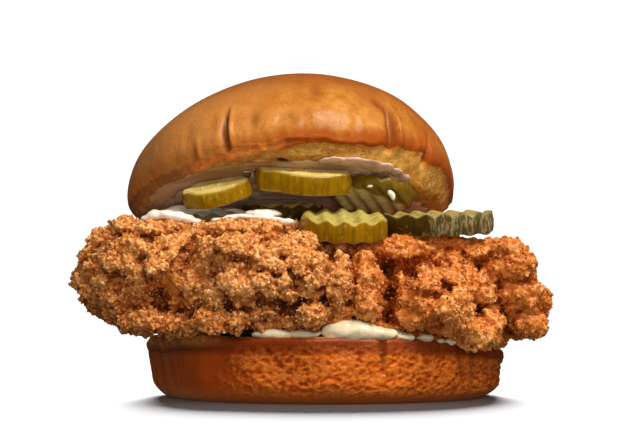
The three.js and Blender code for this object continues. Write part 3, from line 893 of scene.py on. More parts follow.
# %% Waves, peel and place
def chip_of(node):
    middle, (half_x, half_y), thick, nose, roll, ridges, (top, under, pitch) = CHIPS[node]
    chip = flat_chip("gherkin_" + node.split("_")[1], half_x, half_y, thick)
    local = points_of(chip)
    turn = math.radians(ridges)
    along = local[:, 0] * math.cos(turn) + local[:, 1] * math.sin(turn)
    reach = np.hypot(local[:, 0] / half_x, local[:, 1] / half_y)
    level = 2 * local[:, 2] / thick  # -1 on the underside, 1 on the top face
    # The blade left deep waves in the top face; the underside was pressed flatter.
    wave = under + (top - under) * (0.5 + 0.5 * np.clip(level, -1, 1))
    shaped = local.copy()
    shaped[:, 2] += wave * np.cos(2 * np.pi * along / pitch)
    # The peel is a little uneven and bellies out between the two cut edges.
    belly = 0.35 * (1 - level ** 2) + 0.3 * soft_noise(local, 4.1, middle[0])
    warts = 0.35 * np.maximum(soft_noise(local * [1, 1, 0.6], 1.7, middle[2]), 0)
    out = step_up(reach, 0.86, 0.98) * (belly + warts - 0.25)
    shaped[:, :2] *= (1 + out / np.maximum(np.hypot(local[:, 0], local[:, 1]), 1))[:, None]
    shaped[:, 2] += 0.22 * soft_noise(local, 2.2, middle[1]) * (1 - step_up(reach, 0.8, 1))
    seat = (
        Matrix.Translation(middle)
        @ Matrix.Rotation(math.radians(roll), 4, "Y")
        @ Matrix.Rotation(math.radians(nose), 4, "X")
    )
    put_points(chip, placed(shaped, seat))
    mark(chip, "chip_place", local)
    mark(chip, "rim_depth", (1 - reach) * (half_x + half_y) / 2)
    mark(chip, "face_share", np.abs(level))
    return chip


# %% [markdown]
# Gherkin is two finishes on one slice: mottled peel on the rim, drawn from streaks that run
# down its short side, and wet flesh on the faces, with veins and seeds round the middle. How
# far a place lies from the rim says which of the two it shows. Two chips differ: one was
# skinned by the blade, and one keeps dark skin on its far side.

# %% Peel
SKINNED = ((0.085, 0.054, 0.012), (0.33, 0.25, 0.115))
DARK_SKIN = ((0.07, 0.036, 0.001), (0.22, 0.12, 0.004))


def peel_of(look, local, streak, cloud, peel, dark_peel, flesh, scraped):
    marbled = (streak * 0.75 + cloud * 0.25).rising(0.40, 0.60)
    colour = look.mix(marbled * 0.6, peel, dark_peel)
    wart = 1 - look.cells(2.3, place=local).rising(0.10, 0.26)
    colour = look.mix(wart * 0.28, colour, (0.50, 0.36, 0.08))
    edge = look.stored("face_share").rising(0.80, 1.0)
    colour = look.mix(edge * 0.45, colour, flesh)
    if scraped:  # the blade skinned this chip's right half, so grey flesh shows in streaks
        x, _, _ = look.parts(local)
        bare = (x + (cloud - 0.5) * 4).rising(-4.5, -2.5)
        threads = look.noise(1.0, 4, 0.7, look.stretched(local, 1, 1, 0.35), bend=0.8)
        skinned = look.mix(threads.rising(0.42, 0.62), *SKINNED)
        colour = look.mix(bare * 0.85, colour, skinned)
    return colour


# %% Wet gherkin
def gherkin(name, peel, dark_peel, flesh, flesh_edge, scraped=False, shaded=False):
    look = Finish(name)
    local = look.stored("chip_place", "Vector")
    x, y, _ = look.parts(local)
    fine = look.noise(0.9, 3)
    streak = look.noise(1.15, 3, 0.6, look.stretched(local, 1, 1, 0.10))
    cloud = look.noise(5.5, 3, place=local)
    peel_colour = peel_of(look, local, streak, cloud, peel, dark_peel, flesh, scraped)
    middle = (x ** 2.0 + y ** 2.0).maths("SQRT") + (cloud - 0.5) * 4
    veins = look.noise(1.4, 4, 0.6, look.stretched(local, 0.6, 1.2, 1), bend=1.2)
    flesh_colour = look.mix(veins.rising(0.35, 0.7), flesh, flesh_edge)
    seed = 1 - look.cells(2.6, place=look.stretched(local, 1, 0.55, 1)).rising(0.14, 0.30)
    seed = seed * (1 - middle.rising(5.5, 7.5))
    flesh_colour = look.mix(seed * 0.75, flesh_colour, (0.72, 0.60, 0.30))
    inside = (look.stored("rim_depth") + (fine - 0.5) * 0.5).rising(0.25, 1.1)
    colour = look.mix(inside, peel_colour, flesh_colour)
    if shaded:  # its far side is still covered by dark skin
        far = (x * 0.6 - y * 0.8 + (cloud - 0.5) * 3).rising(3.4, 4.8)
        colour = look.mix(far * 0.9, colour, look.mix(streak, *DARK_SKIN))
    relief = streak * 0.5 + fine * 0.35 + seed * 0.8 * inside + veins * 0.6 * inside
    return look.set(
        base_color=colour,
        roughness=0.36,
        specular_ior_level=0.25,
        specular_tint=(1.0, 0.85, 0.45, 1),
        coat_weight=0.16,
        coat_roughness=0.06,
        subsurface_weight=0.12,
        subsurface_radius=(1.0, 0.8, 0.25),
        subsurface_scale=2.5 * MM,
        normal=look.bump(relief, 0.35),
    )


# %% The seven chips
# Each finish: peel, darker peel, flesh, and the flesh's greener veins.
# shade_peel is the peel painted very dark, as painted shade, for the chips that lie deep in shade
# under the crown; the long chip borrows it for its dark left half.
shade_peel = ((0.060, 0.030, 0.001), (0.022, 0.010, 0.001), (0.60, 0.50, 0.16), (0.32, 0.24, 0.05))
mustard = gherkin(
    "mustard_peel", (0.32, 0.165, 0.001), (0.17, 0.076, 0.001),
    (0.62, 0.47, 0.15), (0.54, 0.40, 0.09))
bright_peel = gherkin(
    "bright_peel", (0.33, 0.160, 0.001), (0.13, 0.060, 0.001),
    (0.66, 0.54, 0.15), (0.38, 0.29, 0.03))
pale_flesh = gherkin(
    "pale_flesh", (0.15, 0.080, 0.003), (0.07, 0.035, 0.001),
    (0.72, 0.58, 0.24), (0.52, 0.42, 0.13), shaded=True)
# These two finishes carry the peel painted dark as shade.
dark_peel = gherkin("dark_peel", *shade_peel)
skinned_peel = gherkin("skinned_peel", *shade_peel, scraped=True)
looks = {
    "pickle_left": mustard, "pickle_centre": mustard, "pickle_right": pale_flesh,
    "pickle_front": bright_peel, "pickle_long": skinned_peel, "pickle_inner": dark_peel,
    "pickle_shade": dark_peel,
}
for node, look in looks.items():
    finished(chip_of(node), look, "pickle", node)

# %% [markdown]
# ## Mayonnaise
#
# The three layers of mayonnaise were squeezed out by the weight above them. Each one starts as
# a copy of its node, because its place between its neighbours is already right. It is remeshed
# finely, so that the facets melt away, and then gently rippled.

# %% Sauce
def sauce(name, cream, pale):
    look = Finish(name)
    cloud = look.noise(6, 3)
    fleck = 1 - look.cells(2.4).rising(0.03, 0.07)
    colour = look.mix(cloud.rising(0.3, 0.7), cream, pale)
    colour = look.mix(fleck * 0.4, colour, (0.40, 0.22, 0.07))
    return look.set(
        base_color=colour,
        roughness=0.34,
        specular_ior_level=0.4,
        coat_weight=0.35,
        coat_roughness=0.1,
        subsurface_weight=0.25,
        subsurface_radius=(1.0, 0.75, 0.5),
        subsurface_scale=2 * MM,
        normal=look.bump(look.noise(2.2, 2), 0.2),
    )


# The layer under the crown is thin and soaked into the crumb. Its tan is painted shade under the
# crown, with painted warm light bounced from the bread.
SAUCES = {
    "mayonnaise_heel": sauce("thick_sauce", (0.70, 0.56, 0.34), (0.80, 0.68, 0.47)),
    "mayonnaise_fillet": sauce("white_sauce", (0.84, 0.72, 0.58), (0.90, 0.82, 0.72)),
    "mayonnaise_crown": sauce("soaked_sauce", (0.50, 0.31, 0.20), (0.64, 0.43, 0.31)),
}
# %% Dollops and beads
# What was squeezed out at the front: middle and half-sizes. The crown's drops are measured from
# the middle of its cut, which they hang from.
DOLLOPS = {
    "mayonnaise_heel": [
        ((7.0, -49.6, 21.0), (8.6, 4.2, 3.5)), ((14.5, -48.2, 20.2), (6.5, 4, 2.2)),
        ((-15, -49, 20.2), (7, 3, 1.5)), ((-7, -49.5, 20.1), (5, 3, 1.3)),
        ((23, -46.4, 19.2), (3.0, 2.2, 1.0)), ((28.6, -44, 18.9), (2.9, 2.2, 1.3)),
        ((33.2, -41.4, 18.0), (1.7, 2.0, 0.9)), ((36.4, -39, 17.6), (2.2, 2.0, 1.1)),
    ],
    "mayonnaise_fillet": [
        ((-53.2, -35.5, 53.9), (1.8, 2.2, 1.2)), ((-50.8, -36, 54.9), (2.4, 2.6, 1.7)),
        ((-47.4, -36.5, 55.1), (2.6, 2.6, 1.6)), ((-44, -36.5, 54.6), (2.4, 2.6, 1.7)),
        ((-40.8, -36.5, 53.9), (2.2, 2.4, 1.4)), ((-38.2, -36, 53.0), (1.8, 2, 1.1)),
        ((-32, -39, 53.4), (2.2, 2, 0.8)), ((-28.2, -38.5, 54.2), (2.4, 2.2, 1.0)),
        ((-24.2, -38.5, 54.6), (2.8, 2.2, 1.0)), ((-19.8, -38.5, 54.3), (3.0, 2.2, 0.9)),
        ((-15.4, -38.5, 53.8), (2.6, 2.2, 0.9)), ((-11.6, -38.5, 53.0), (2.2, 2, 1.0)),
        ((-18.5, -33, 55.4), (6, 4, 1.5)), ((19.0, -29.2, 61.9), (0.9, 1.0, 1.1)),
        ((20.0, -28.8, 60.7), (0.9, 0.9, 1.4)), ((13.0, -30.6, 63.8), (1.3, 0.9, 0.6)),
    ],
    "mayonnaise_crown": [
        ((13, -43.5, -0.6), (5, 3, 0.8)), ((18.5, -42.8, -0.8), (5, 3.2, 1.0)),
        ((23.5, -40.6, -0.8), (4, 3.6, 0.8)), ((27.5, -37.4, -1.0), (4, 4, 1.1)),
        ((31, -32.8, -1.0), (3.6, 4, 0.9)), ((33.6, -28.2, -1.1), (3, 4, 1.1)),
        ((35.6, -23.8, -1.0), (2.4, 3.2, 0.9)),
    ],
}

# %% Squeezing the layers out
def squeezed_out(node, dollops):
    """A copy of a mayonnaise node with its dollops, remeshed into one rippled skin."""
    layer = copy_of(node, "spread_" + node.split("_")[1])
    hanging = node == "mayonnaise_crown"
    bm = bmesh.new()
    bm.from_mesh(layer.data)
    for middle, half in dollops:
        drop = bmesh.ops.create_icosphere(bm, subdivisions=3, radius=MM)["verts"]
        bmesh.ops.scale(bm, verts=drop, vec=half)
        bmesh.ops.translate(bm, verts=drop, vec=Vector(middle) * MM)
        if hanging:
            seat = Matrix.Scale(MM, 4) @ crown_place @ Matrix.Scale(1 / MM, 4)
            bmesh.ops.transform(bm, verts=drop, matrix=seat)
    bm.to_mesh(layer.data)
    bm.free()
    layer = smoothed(remeshed(layer, 0.5), 8 if hanging else 4)
    points = points_of(layer)
    ripple = 0.35 * soft_noise(points, 3.1, 4.8) + 0.2 * soft_noise(points, 1.5, 2.1)
    put_points(layer, points + normals_of(layer) * ripple[:, None])
    return layer


for node, dollops in DOLLOPS.items():
    finished(squeezed_out(node, dollops), SAUCES[node], "mayonnaise", node)

# %% [markdown]
# ## The fried fillet
#
# Breading is crumbs stuck on crumbs. A smooth body with a bump pattern never looks like it, so
# the crust is built as it was made: the node's form is remeshed and smoothed to be the meat,
# thousands of seeded lumps are pressed into its skin, and a second, finer voxel remesh fries
# them into one crust. What is left of the lumps' shapes is what gives the crags.

# %% Lumps
lump_dice = np.random.default_rng(41)


def lump_shape(sharpness, detail, seed):
    """A rough pebble of radius 1, from an icosphere."""
    bm = bmesh.new()
    bmesh.ops.create_icosphere(bm, subdivisions=detail, radius=MM)
    for corner in bm.verts:
        corner.co *= 1 + sharpness * noise.noise(corner.co / MM * 1.3 + Vector((seed, 2 * seed, 0)))
    return piece_from(bm, "lump")


def crumb_shape(seed):
    """A knobbly crumb of radius 1, from a cube cut once each way."""
    bm = bmesh.new()
    bmesh.ops.create_cube(bm, size=2 * MM)
    bmesh.ops.subdivide_edges(bm, edges=bm.edges, cuts=1, use_grid_fill=True)
    for corner in bm.verts:
        way = corner.co.normalized()
        corner.co = way * MM * (1 + 0.9 * noise.noise(way * 1.9 + Vector((seed, 0, 2 * seed))))
    return piece_from(bm, "crumb")


def take_shape(piece):
    """A piece's points and triangles as arrays. The piece itself is deleted."""
    bm = bmesh.new()
    bm.from_mesh(piece.data)
    bmesh.ops.triangulate(bm, faces=bm.faces)
    corners = np.array([list(v.co) for v in bm.verts]) / MM
    faces = np.array([[v.index for v in f.verts] for f in bm.faces])
    bm.free()
    bpy.data.objects.remove(piece)
    return corners, faces


# %% Many copies of a shape
def random_turns(count):
    """Even random rotations, one 3 by 3 matrix in each row."""
    w, x, y, z = (lambda q: q / np.linalg.norm(q, axis=0))(lump_dice.normal(size=(4, count)))
    return np.array([
        [1 - 2 * (y * y + z * z), 2 * (x * y - z * w), 2 * (x * z + y * w)],
        [2 * (x * y + z * w), 1 - 2 * (x * x + z * z), 2 * (y * z - x * w)],
        [2 * (x * z - y * w), 2 * (y * z + x * w), 1 - 2 * (x * x + y * y)],
    ]).transpose(2, 0, 1)


def copies(shape, turns, middles):
    """The points and triangles of many turned and moved copies of a shape."""
    corners, faces = shape
    points = np.einsum("nij,vj->nvi", turns, corners) + middles[:, None]
    first = np.arange(len(turns))[:, None, None] * len(corners)
    return points.reshape(-1, 3), (faces[None] + first).reshape(-1, 3)


def joined(parts, name):
    """One piece from several lists of points and triangles."""
    starts = np.cumsum([0] + [len(points) for points, _ in parts])
    points = np.concatenate([part[0] for part in parts])
    faces = np.concatenate([part[1] + start for part, start in zip(parts, starts)])
    mesh = bpy.data.meshes.new(name)
    mesh.vertices.add(len(points))
    mesh.vertices.foreach_set("co", (points * MM).ravel())
    mesh.loops.add(faces.size)
    mesh.loops.foreach_set("vertex_index", faces.ravel().astype(np.int32))
    mesh.polygons.add(len(faces))
    mesh.polygons.foreach_set("loop_start", np.arange(0, faces.size, 3, dtype=np.int32))
    mesh.update(calc_edges=True)
    piece = bpy.data.objects.new(name, mesh)
    bpy.context.scene.collection.objects.link(piece)
    return piece


# %% Picking places on the skin
def spots_on(points, faces, count, liking):
    """Random places on a surface, more where liking is high, and the skin's normals there."""
    a, b, c = (points[faces[:, i]] for i in range(3))
    cross = np.cross(b - a, c - a)
    area = np.linalg.norm(cross, axis=1)
    middle = (a + b + c) / 3
    weight = area * liking(middle)
    chosen = lump_dice.choice(len(faces), count, p=weight / weight.sum())
    u, v = lump_dice.random((2, count))
    flip = u + v > 1
    u[flip], v[flip] = 1 - u[flip], 1 - v[flip]
    spots = a[chosen] + u[:, None] * (b - a)[chosen] + v[:, None] * (c - a)[chosen]
    return spots, cross[chosen] / area[chosen, None]


# %% Where the crust is worked
def front(points):
    """Most lumps go where the crust shows, at the front and the ends."""
    ends = step_up(np.abs(points[:, 0] + 5), 52, 60)
    back = 1 - step_up(points[:, 1], -26, -6) * (1 - 0.6 * ends)
    return 0.08 + 0.92 * back * step_up(57 - points[:, 2], 0, 4)


def right_part(points):
    return step_up(points[:, 0], 2, 14)


def popped(points, pitch, seed):
    """Rounded lumps with sharp creases between them: 1 on a lump's top, 0 in a crease."""
    warp = np.stack([soft_noise(points, pitch * 1.6, seed + i) for i in (0.3, 5.1, 9.7)], axis=1)
    bent = points / pitch + 0.35 * warp + seed
    heights = []
    for place in bent.tolist():
        (near, next_near, _, _), _ = noise.voronoi(place)
        heights.append(next_near - near)
    return np.sqrt(np.clip(heights, 0, 0.6) / 0.6)


# %% [markdown]
# What a glance remembers of this fillet is where its big forms lie, so those are listed one by one:
# lobes that hang over the rim, clumps of batter, and the hollows and bare pockets between
# them. Everything smaller than a clump is left to seeded chance.

# %% Lobes
# Lobes that hang over the heel's rim or fill the crust's top: middle and half-sizes.
LOBES = [
    ((42.5, -40, 20.5), (7, 4, 5.2)), ((34, -42.5, 22.6), (5, 3.5, 3.2)),
    ((30, -35, 20.5), (10, 5, 3.4)), ((39.5, -42.5, 23), (4.5, 3.4, 3.6)),
    ((47.5, -36, 22), (5, 4, 5)), ((-25.7, -51, 23.6), (4, 3.2, 3.2)),
    ((-33, -50, 24.5), (6, 4, 4)), ((26, -47, 25), (6, 4, 3.6)), ((-55, -33, 23), (7, 5, 3.4)),
    ((12, -51, 28), (4, 3.5, 3.4)), ((-4, -53, 26), (5, 4, 3.6)), ((-44, -42, 23), (8, 5, 3.4)),
    ((32, -33, 45.8), (10, 6, 3.8)), ((43.5, -32, 44.4), (5.5, 6, 3.4)),
    ((22, -38, 45.2), (9, 6, 3.2)), ((1, -46.5, 25.5), (7, 6, 4)), ((-53, -42, 24), (7, 5, 3.2)),
    ((-18, -48, 25), (7, 5, 4)), ((17, -39.5, 28.5), (5.5, 5, 4)), ((64.5, -27, 30), (3, 4, 3.6)),
    ((-60, -33.5, 52.0), (4, 5, 2.8)), ((-49, -35, 50.6), (9, 6, 3)),
    ((-24, -39, 50.6), (12, 6, 3)), ((53, -33.5, 45.0), (6, 6, 3.2)),
    ((-38, -38, 49.6), (5, 5, 2.6)), ((55, -35, 39.5), (7, 5, 4.6)), ((58, -33, 31), (6.5, 5, 5)),
    ((3.2, -52, 36), (3.8, 4.6, 8)), ((-57, -37, 46), (6, 4, 3)),
    ((-11.5, -46, 24.0), (6, 5, 3.0)), ((-3, -44, 23.5), (6, 5, 3.0)),
    ((17, -38, 23.4), (6.5, 6, 3.2)), ((50.5, -20, 18.2), (4.5, 9, 3.2)),
    ((49.5, -4, 18.6), (4.5, 9, 3.2)), ((60, -31, 22.6), (6, 5, 3.6)),
]

# %% Clumps
# Clumps of batter across the front, from left to right: place across and up, half-sizes across
# and up, turn in degrees, and how far each stands out of the skin.
CLUMPS = [
    (-60.8, 53.2, 2.3, 2.1, -20, 1), (-68.1, 48.8, 3, 2.7, 0, 1.6),
    (-59.1, 49.9, 2.4, 1.8, 0, 0.8), (-64.5, 45.3, 3.3, 1.3, 10, 0.8),
    (-72.2, 44, 2.7, 1.4, -10, 1), (-63, 42.6, 4.1, 1.5, 6, 1.6), (-56.5, 43.5, 2.3, 1.8, -30, 1),
    (-70.7, 39.4, 2.7, 1.5, 0, 1), (-61.3, 40.3, 3.5, 1.6, 0, 1.8),
    (-67.1, 35.6, 2.6, 1.5, 10, 0.4), (-73.3, 35.9, 2.4, 2.7, 0, 0.4),
    (-55.7, 45.8, 1.5, 2.3, 30, 1.6), (-52.6, 44.6, 2.6, 1.5, -35, 1.6),
    (-49, 41.1, 2.6, 4.1, 10, 2.6), (-52, 48.6, 3, 1.5, 0, 1.2), (-47.6, 45.8, 1.7, 2.6, -20, 1.8),
    (-44.4, 44.9, 1.7, 3.5, -10, 2.2), (-46.9, 51.3, 3.6, 1.8, 0, 1),
    (-42.5, 52.8, 2.5, 1.8, 0, 1), (-41.9, 48.1, 1.8, 1.8, 0, 0.6),
    (-54.2, 33.8, 2, 2.6, -15, 1.4), (-53.8, 29.4, 2.3, 1.8, 0, 1.2),
    (-55.5, 38.8, 2.3, 2.6, -30, 1.2), (-48.8, 25.8, 4.1, 1.2, 0, 1.8),
    (-44, 28.3, 1.5, 2.9, 0, 1), (-58.2, 30.6, 2.6, 2.3, 0, 0.4), (-63.5, 30, 2.9, 2.1, 0, 0.2),
    (-60.6, 27.1, 3.5, 1.8, 20, 0.3), (-70.1, 30.8, 2.7, 2.1, 0, 0.2),
    (-61.7, 22.8, 4.2, 1.8, -18, 0.4), (-52.8, 23.1, 3.6, 1.8, -10, 0.2),
    (-46.3, 22.5, 3, 2.1, 0, 0.3), (-35.8, 51.2, 2.4, 2.1, 0, 0.6),
    (-30.8, 51.8, 2.7, 1.8, 0, 0.6), (-34.9, 45.2, 2.9, 2.6, 0, 1.4),
    (-27.2, 45.1, 4, 2.9, 0, 2.8), (-36.7, 39.4, 3.2, 2.6, 0, 0.8),
    (-40.2, 35.3, 2.3, 3.5, 0, 0.8), (-34.9, 33.6, 3.5, 2.9, 0, 1),
    (-39.2, 28.6, 3.5, 2.6, 0, 0.8), (-32.4, 30.1, 2.3, 2.6, 0, 1.4),
    (-22.1, 47.4, 2.3, 1.7, 0, 1), (-18.5, 42.8, 3.5, 2.3, -20, 1.8),
    (-22.8, 51, 3.5, 1.7, 0, 0.8), (-14.8, 40.2, 4, 1.7, -8, 2.2), (-12, 45.4, 3.5, 2.3, 0, 1.4),
    (-17.1, 49, 2.9, 1.8, 0, 0.8), (-10.8, 51.9, 2.7, 1.8, 0, 1.2), (-6.2, 47.5, 3.5, 2.6, 0, 1.4),
    (-7.6, 42.2, 3.4, 2.6, 0, 1.2), (-18.5, 35, 2.3, 2, 0, 1.2), (-15.1, 32.4, 2, 1.4, 0, 1.2),
    (-11.9, 35.3, 1.7, 1.4, 20, 1.2), (-7.6, 38.2, 1.7, 1.1, 0, 1.2), (-9.9, 31, 2.9, 1.7, 0, 0.8),
    (-4.2, 35.9, 2, 2, -30, 2.2), (-1.3, 41.1, 2, 2.6, 20, 1.4), (-2.4, 37.3, 1.7, 1.7, 0, 1.2),
    (-4.2, 31.9, 2.3, 1.4, 0, 1), (-24.8, 33, 3.1, 2.3, 0, 0.6), (-28.8, 35.3, 2.3, 2, 0, 0.6),
    (-26.6, 24.8, 2.9, 4.4, 0, 1.8), (-31.5, 24.8, 2.3, 2.6, 0, 0.6),
    (-18.6, 27.5, 3.8, 2, 0, 1.4), (-23.4, 30.1, 2.6, 1.7, 0, 0.8), (-8.3, 25.7, 3.8, 3.5, 0, 0.2),
    (-7.7, 21.8, 3.5, 1.5, 0, 0.3), (-1.3, 23.5, 1.8, 2.1, 0, 0.2),
    (3.1, 45.6, 3.5, 2.4, -30, 2.2), (4.9, 42.6, 2.4, 1.8, -50, 1.8),
    (1.6, 38.2, 2.3, 1.7, -40, 1.4), (3.9, 34.4, 2.6, 3.5, 0, 2), (3.4, 28.8, 2.9, 3.5, 0, 2.2),
    (1.1, 25.9, 2.4, 1.8, 0, 1), (10.5, 44.7, 2.9, 2.1, 0, 1.2), (10.6, 41.1, 3.2, 2.6, 0, 1.6),
    (11.4, 36.5, 2.9, 2.9, 0, 1.6), (10.8, 31.3, 3.5, 3.2, 0, 1.8), (13.2, 27.7, 2.3, 2, 0, 1.2),
    (9.9, 26.5, 2.9, 1.5, 0, 0.4), (13.6, 26.6, 1.5, 1.7, 60, 1.2), (15.6, 46.1, 2.4, 1.8, 0, 0.8),
    (14.9, 37.3, 2, 1.4, -10, 1), (16.1, 34.7, 2, 1.2, -30, 1), (15.5, 42.9, 1.5, 2.4, 0, 0.4),
    (16.7, 30.7, 1.7, 1.5, 0, 0.6), (21.6, 44.3, 3.3, 2.7, 0, 1.8), (20.6, 39.4, 2.7, 2.7, 0, 1.8),
    (21.5, 35.3, 2, 2.3, 0, 1.8), (24.2, 41.2, 1.5, 2.7, 0, 1.4), (27.7, 43.6, 2.7, 2.4, 0, 1.4),
    (25.8, 40.6, 1.8, 1.5, 0, 1.2), (26.9, 46.4, 2.9, 1.8, 0, 0.6), (30.6, 37, 3.8, 2, 10, 2),
    (29.9, 34.1, 3.5, 1.7, 0, 1.4), (26.2, 33.8, 2.3, 1.2, -30, 1.6),
    (22.8, 30.9, 1.7, 2.3, 0, 1.6), (26.5, 29.5, 3.5, 1.7, 10, 1.6), (29.3, 27.2, 2, 3.5, 0, 1.8),
    (27.8, 23.1, 2.3, 1.5, 0, 1.2), (23.9, 21.8, 3.2, 1.3, -25, 1.2), (20.3, 29.2, 2.3, 1.7, 0, 1),
    (19.5, 25.3, 1.8, 2.6, 0, 0.6), (36.3, 41.2, 3.2, 2.6, 0, 1.8), (37.5, 36.5, 2.3, 3.5, 0, 2.2),
    (34, 44.2, 3, 2.1, 0, 1.2), (32.2, 46.4, 2.6, 1.8, 0, 0.8), (36.8, 46.7, 2.6, 1.8, 0, 0.8),
    (41.8, 44.3, 2.4, 2.4, 0, 1.4), (41.5, 40, 2.4, 2.4, 0, 1.6), (42.2, 35.9, 2.1, 2.4, 0, 1.6),
    (40.8, 33, 1.8, 2, 0, 1.4), (44.1, 32.3, 2.4, 2.1, -30, 1.6), (47.4, 35.3, 2.4, 2.7, 0, 1.8),
    (34.5, 27.8, 3.5, 2.9, -40, 3), (38.2, 30.7, 3.5, 2.3, 0, 3), (39, 26, 4.4, 3.5, -45, 3.4),
    (42.4, 24.7, 1.8, 3.2, 30, 3), (36, 24, 3.6, 1.7, -35, 2.2), (42.1, 19.5, 5.9, 2.3, -20, 3.2),
    (47.3, 17.7, 3.8, 2.6, 10, 3.6), (51, 20.9, 1.8, 3.6, 10, 3.2), (49.9, 25.8, 1.8, 3.9, 10, 3),
    (46.5, 31.2, 3.5, 1.8, 0, 2.6), (48.2, 28.5, 1.8, 1.5, 0, 2), (42.1, 16.8, 4.1, 1.5, -15, 1.6),
    (48.2, 41.2, 2.4, 2.4, 0, 1.6), (47, 37.9, 1.8, 1.8, 0, 1.4), (52.2, 46.5, 3.9, 2.1, -8, 1.2),
    (52, 43.3, 4.8, 1.8, -8, 1.2), (57.4, 42.5, 3, 2.7, 0, 1.2), (60.2, 39.5, 2.7, 3, 0, 1.2),
    (54.1, 38.8, 3.6, 1.8, -14, 1.6), (57, 36.5, 3, 1.5, -14, 1.2), (61.7, 34.7, 2.1, 3, 0, 1),
    (54.4, 33.5, 3.3, 3, 20, 2.6), (58.7, 32.3, 2.4, 2.1, 0, 1.4), (66.1, 29.8, 2.4, 3, 0, 0.8),
    (60.6, 29.3, 2.7, 2.7, 0, 1.4), (55.2, 25.8, 3, 2.7, 0, 1.8), (57.7, 23.1, 3, 1.5, 0, 1.8),
    (61.3, 25.7, 2.7, 2.4, 0, 1), (65.7, 24.7, 2.4, 1.8, 0, 0.4), (57.5, 19.7, 3.9, 1.8, 0, 0.8),
    (64.2, 21.9, 2.7, 2.1, 0, 0.4),
]

# %% Hollows and pockets
# Hollows between the clumps: the same six numbers, the last being the depth.
HOLLOWS = [
    (-61.9, 37.6, 3.8, 0.9, 0, 3.2), (-53.8, 41.1, 1.7, 1.5, -20, 3.4),
    (-51.3, 35.9, 1.7, 2, 20, 2.6), (-40.9, 44.6, 1.7, 2.6, -20, 2.6),
    (-41.4, 41.1, 1.2, 2.3, 0, 2.6), (-48.6, 32, 3.2, 3.6, -25, 7), (-42.5, 37.3, 1.2, 3.5, 0, 2),
    (-26.2, 41.6, 3.1, 0.7, 0, 3), (-23, 39.3, 2.6, 1.7, 0, 2), (-10.5, 38.7, 3.4, 0.9, 0, 2.4),
    (-8.7, 35.3, 1.4, 2.9, 0, 2.2), (2.5, 41.7, 3.2, 2, -25, 4), (6.3, 39.4, 2, 1.2, -30, 2.4),
    (-5.6, 29.6, 4, 1, 0, 3.4), (-17.6, 24.2, 3.5, 1.8, 0, 6), (-21.8, 21.9, 2.1, 2.4, 0, 5),
    (-12.8, 29.3, 2, 1.2, 0, 4), (7.9, 33, 0.7, 6, 0, 3), (17.4, 39, 1.7, 3, 0, 10),
    (18, 31.5, 1.8, 5.8, -6, 13), (17.8, 25, 2, 4.1, 0, 10), (22.9, 25.7, 2.9, 2, 0, 4.6),
    (25.5, 37.6, 1.2, 2.3, 10, 6), (28.4, 31.3, 2.3, 1.3, 0, 5), (33.3, 33.6, 2.6, 1.7, 0, 3.4),
    (31.8, 30.1, 1.2, 2.9, -30, 3.4), (30.7, 21.9, 2.9, 2.6, 0, 5), (39.7, 41.2, 0.9, 2.9, 0, 2),
    (45.1, 25.8, 1.8, 3.9, 25, 6), (47.7, 23.3, 2.4, 1.5, 0, 5), (39.7, 17.1, 3.5, 1.2, -15, 3.4),
    (50.7, 34.7, 1.2, 3.5, -8, 3.4), (53.9, 28.8, 2.7, 0.9, 0, 3.6),
    (53.9, 41.2, 4.2, 0.6, -14, 2), (56.3, 20.7, 3.6, 0.9, 0, 3), (59.5, 34.7, 0.9, 3, 0, 2.2),
    (60.6, 31.1, 2.1, 0.7, -40, 2), (63.3, 28.1, 0.9, 3, -20, 2), (42.2, 28.2, 0.9, 1.8, 0, 2),
    (10.4, 26.6, 2.3, 0.9, 0, 2.6), (5.6, 24.6, 1.5, 1.2, 0, 3), (30.4, 40.3, 2.6, 0.9, -10, 2.2),
    (36.8, 44.9, 2.4, 0.8, 0, 2), (23.7, 33, 1.2, 1.2, 0, 2.4),
]
# Pockets where the breading fell off and the batter under it fried smooth: middle and reach.
POCKETS = [
    ((-47.8, -48, 32), 6.0), ((-44, -55, 38), 2.6), ((8.5, -57, 30), 2.4), ((51, -42, 31), 2.6),
]


# %% Depth of the hollows
HOLLOW_SHARE = 0.45  # how much of a hollow's depth is carved before the grains fill it


def hollowed(points):
    """How deep the hollows are at each point of the front."""
    depth = np.zeros(len(points))
    facing = 1 - step_up(points[:, 1], -28, -16)
    for x, z, across, up, turn, deep in HOLLOWS:
        c, s = math.cos(math.radians(turn)), math.sin(math.radians(turn))
        u, v = points[:, 0] - x, points[:, 2] - z
        away = np.hypot((u * c + v * s) / across, (v * c - u * s) / up)
        depth = np.maximum(depth, HOLLOW_SHARE * deep * hill(away, 0.9) * facing)
    return depth


def in_pockets(points):
    """1 inside a smooth pocket, 0 away from it."""
    inside = np.zeros(len(points))
    for middle, reach in POCKETS:
        away = np.linalg.norm((points - middle) * [1, 0.6, 0.8], axis=1)
        inside = np.maximum(inside, 1 - step_up(away, 0.6 * reach, reach))
    return inside


def crumbed(points):
    """Where crumbs hold: the front, but not the pockets."""
    return front(points) * (1 - in_pockets(points))


# %% Pressing lumps into a skin
def pressed(shape, count, small, large, liking, sunk, detail, flat, sharpness=0.55):
    """Seeded lumps half sunk into a skin, as parts for a join."""
    spots, normals = spots_on(*shape, count, liking)
    size = lump_dice.uniform(small, large, count)
    sizes = size[:, None] * lump_dice.uniform(0.7, 1.2, (count, 3))
    sizes[:, 2] *= flat
    turns = random_turns(count) * sizes[:, None, :]
    middles = spots - normals * (size * sunk)[:, None]
    parts = []
    for i in range(3):
        pick = np.arange(count) % 3 == i
        pebble = take_shape(lump_shape(sharpness, detail, 3.1 * i + count))
        parts.append(copies(pebble, turns[pick], middles[pick]))
    return parts


# %% The meat under the crust
MEAT_VOXEL, MEAT_INSET, FRONT_INSET = 1.3, 1.2, 0.5

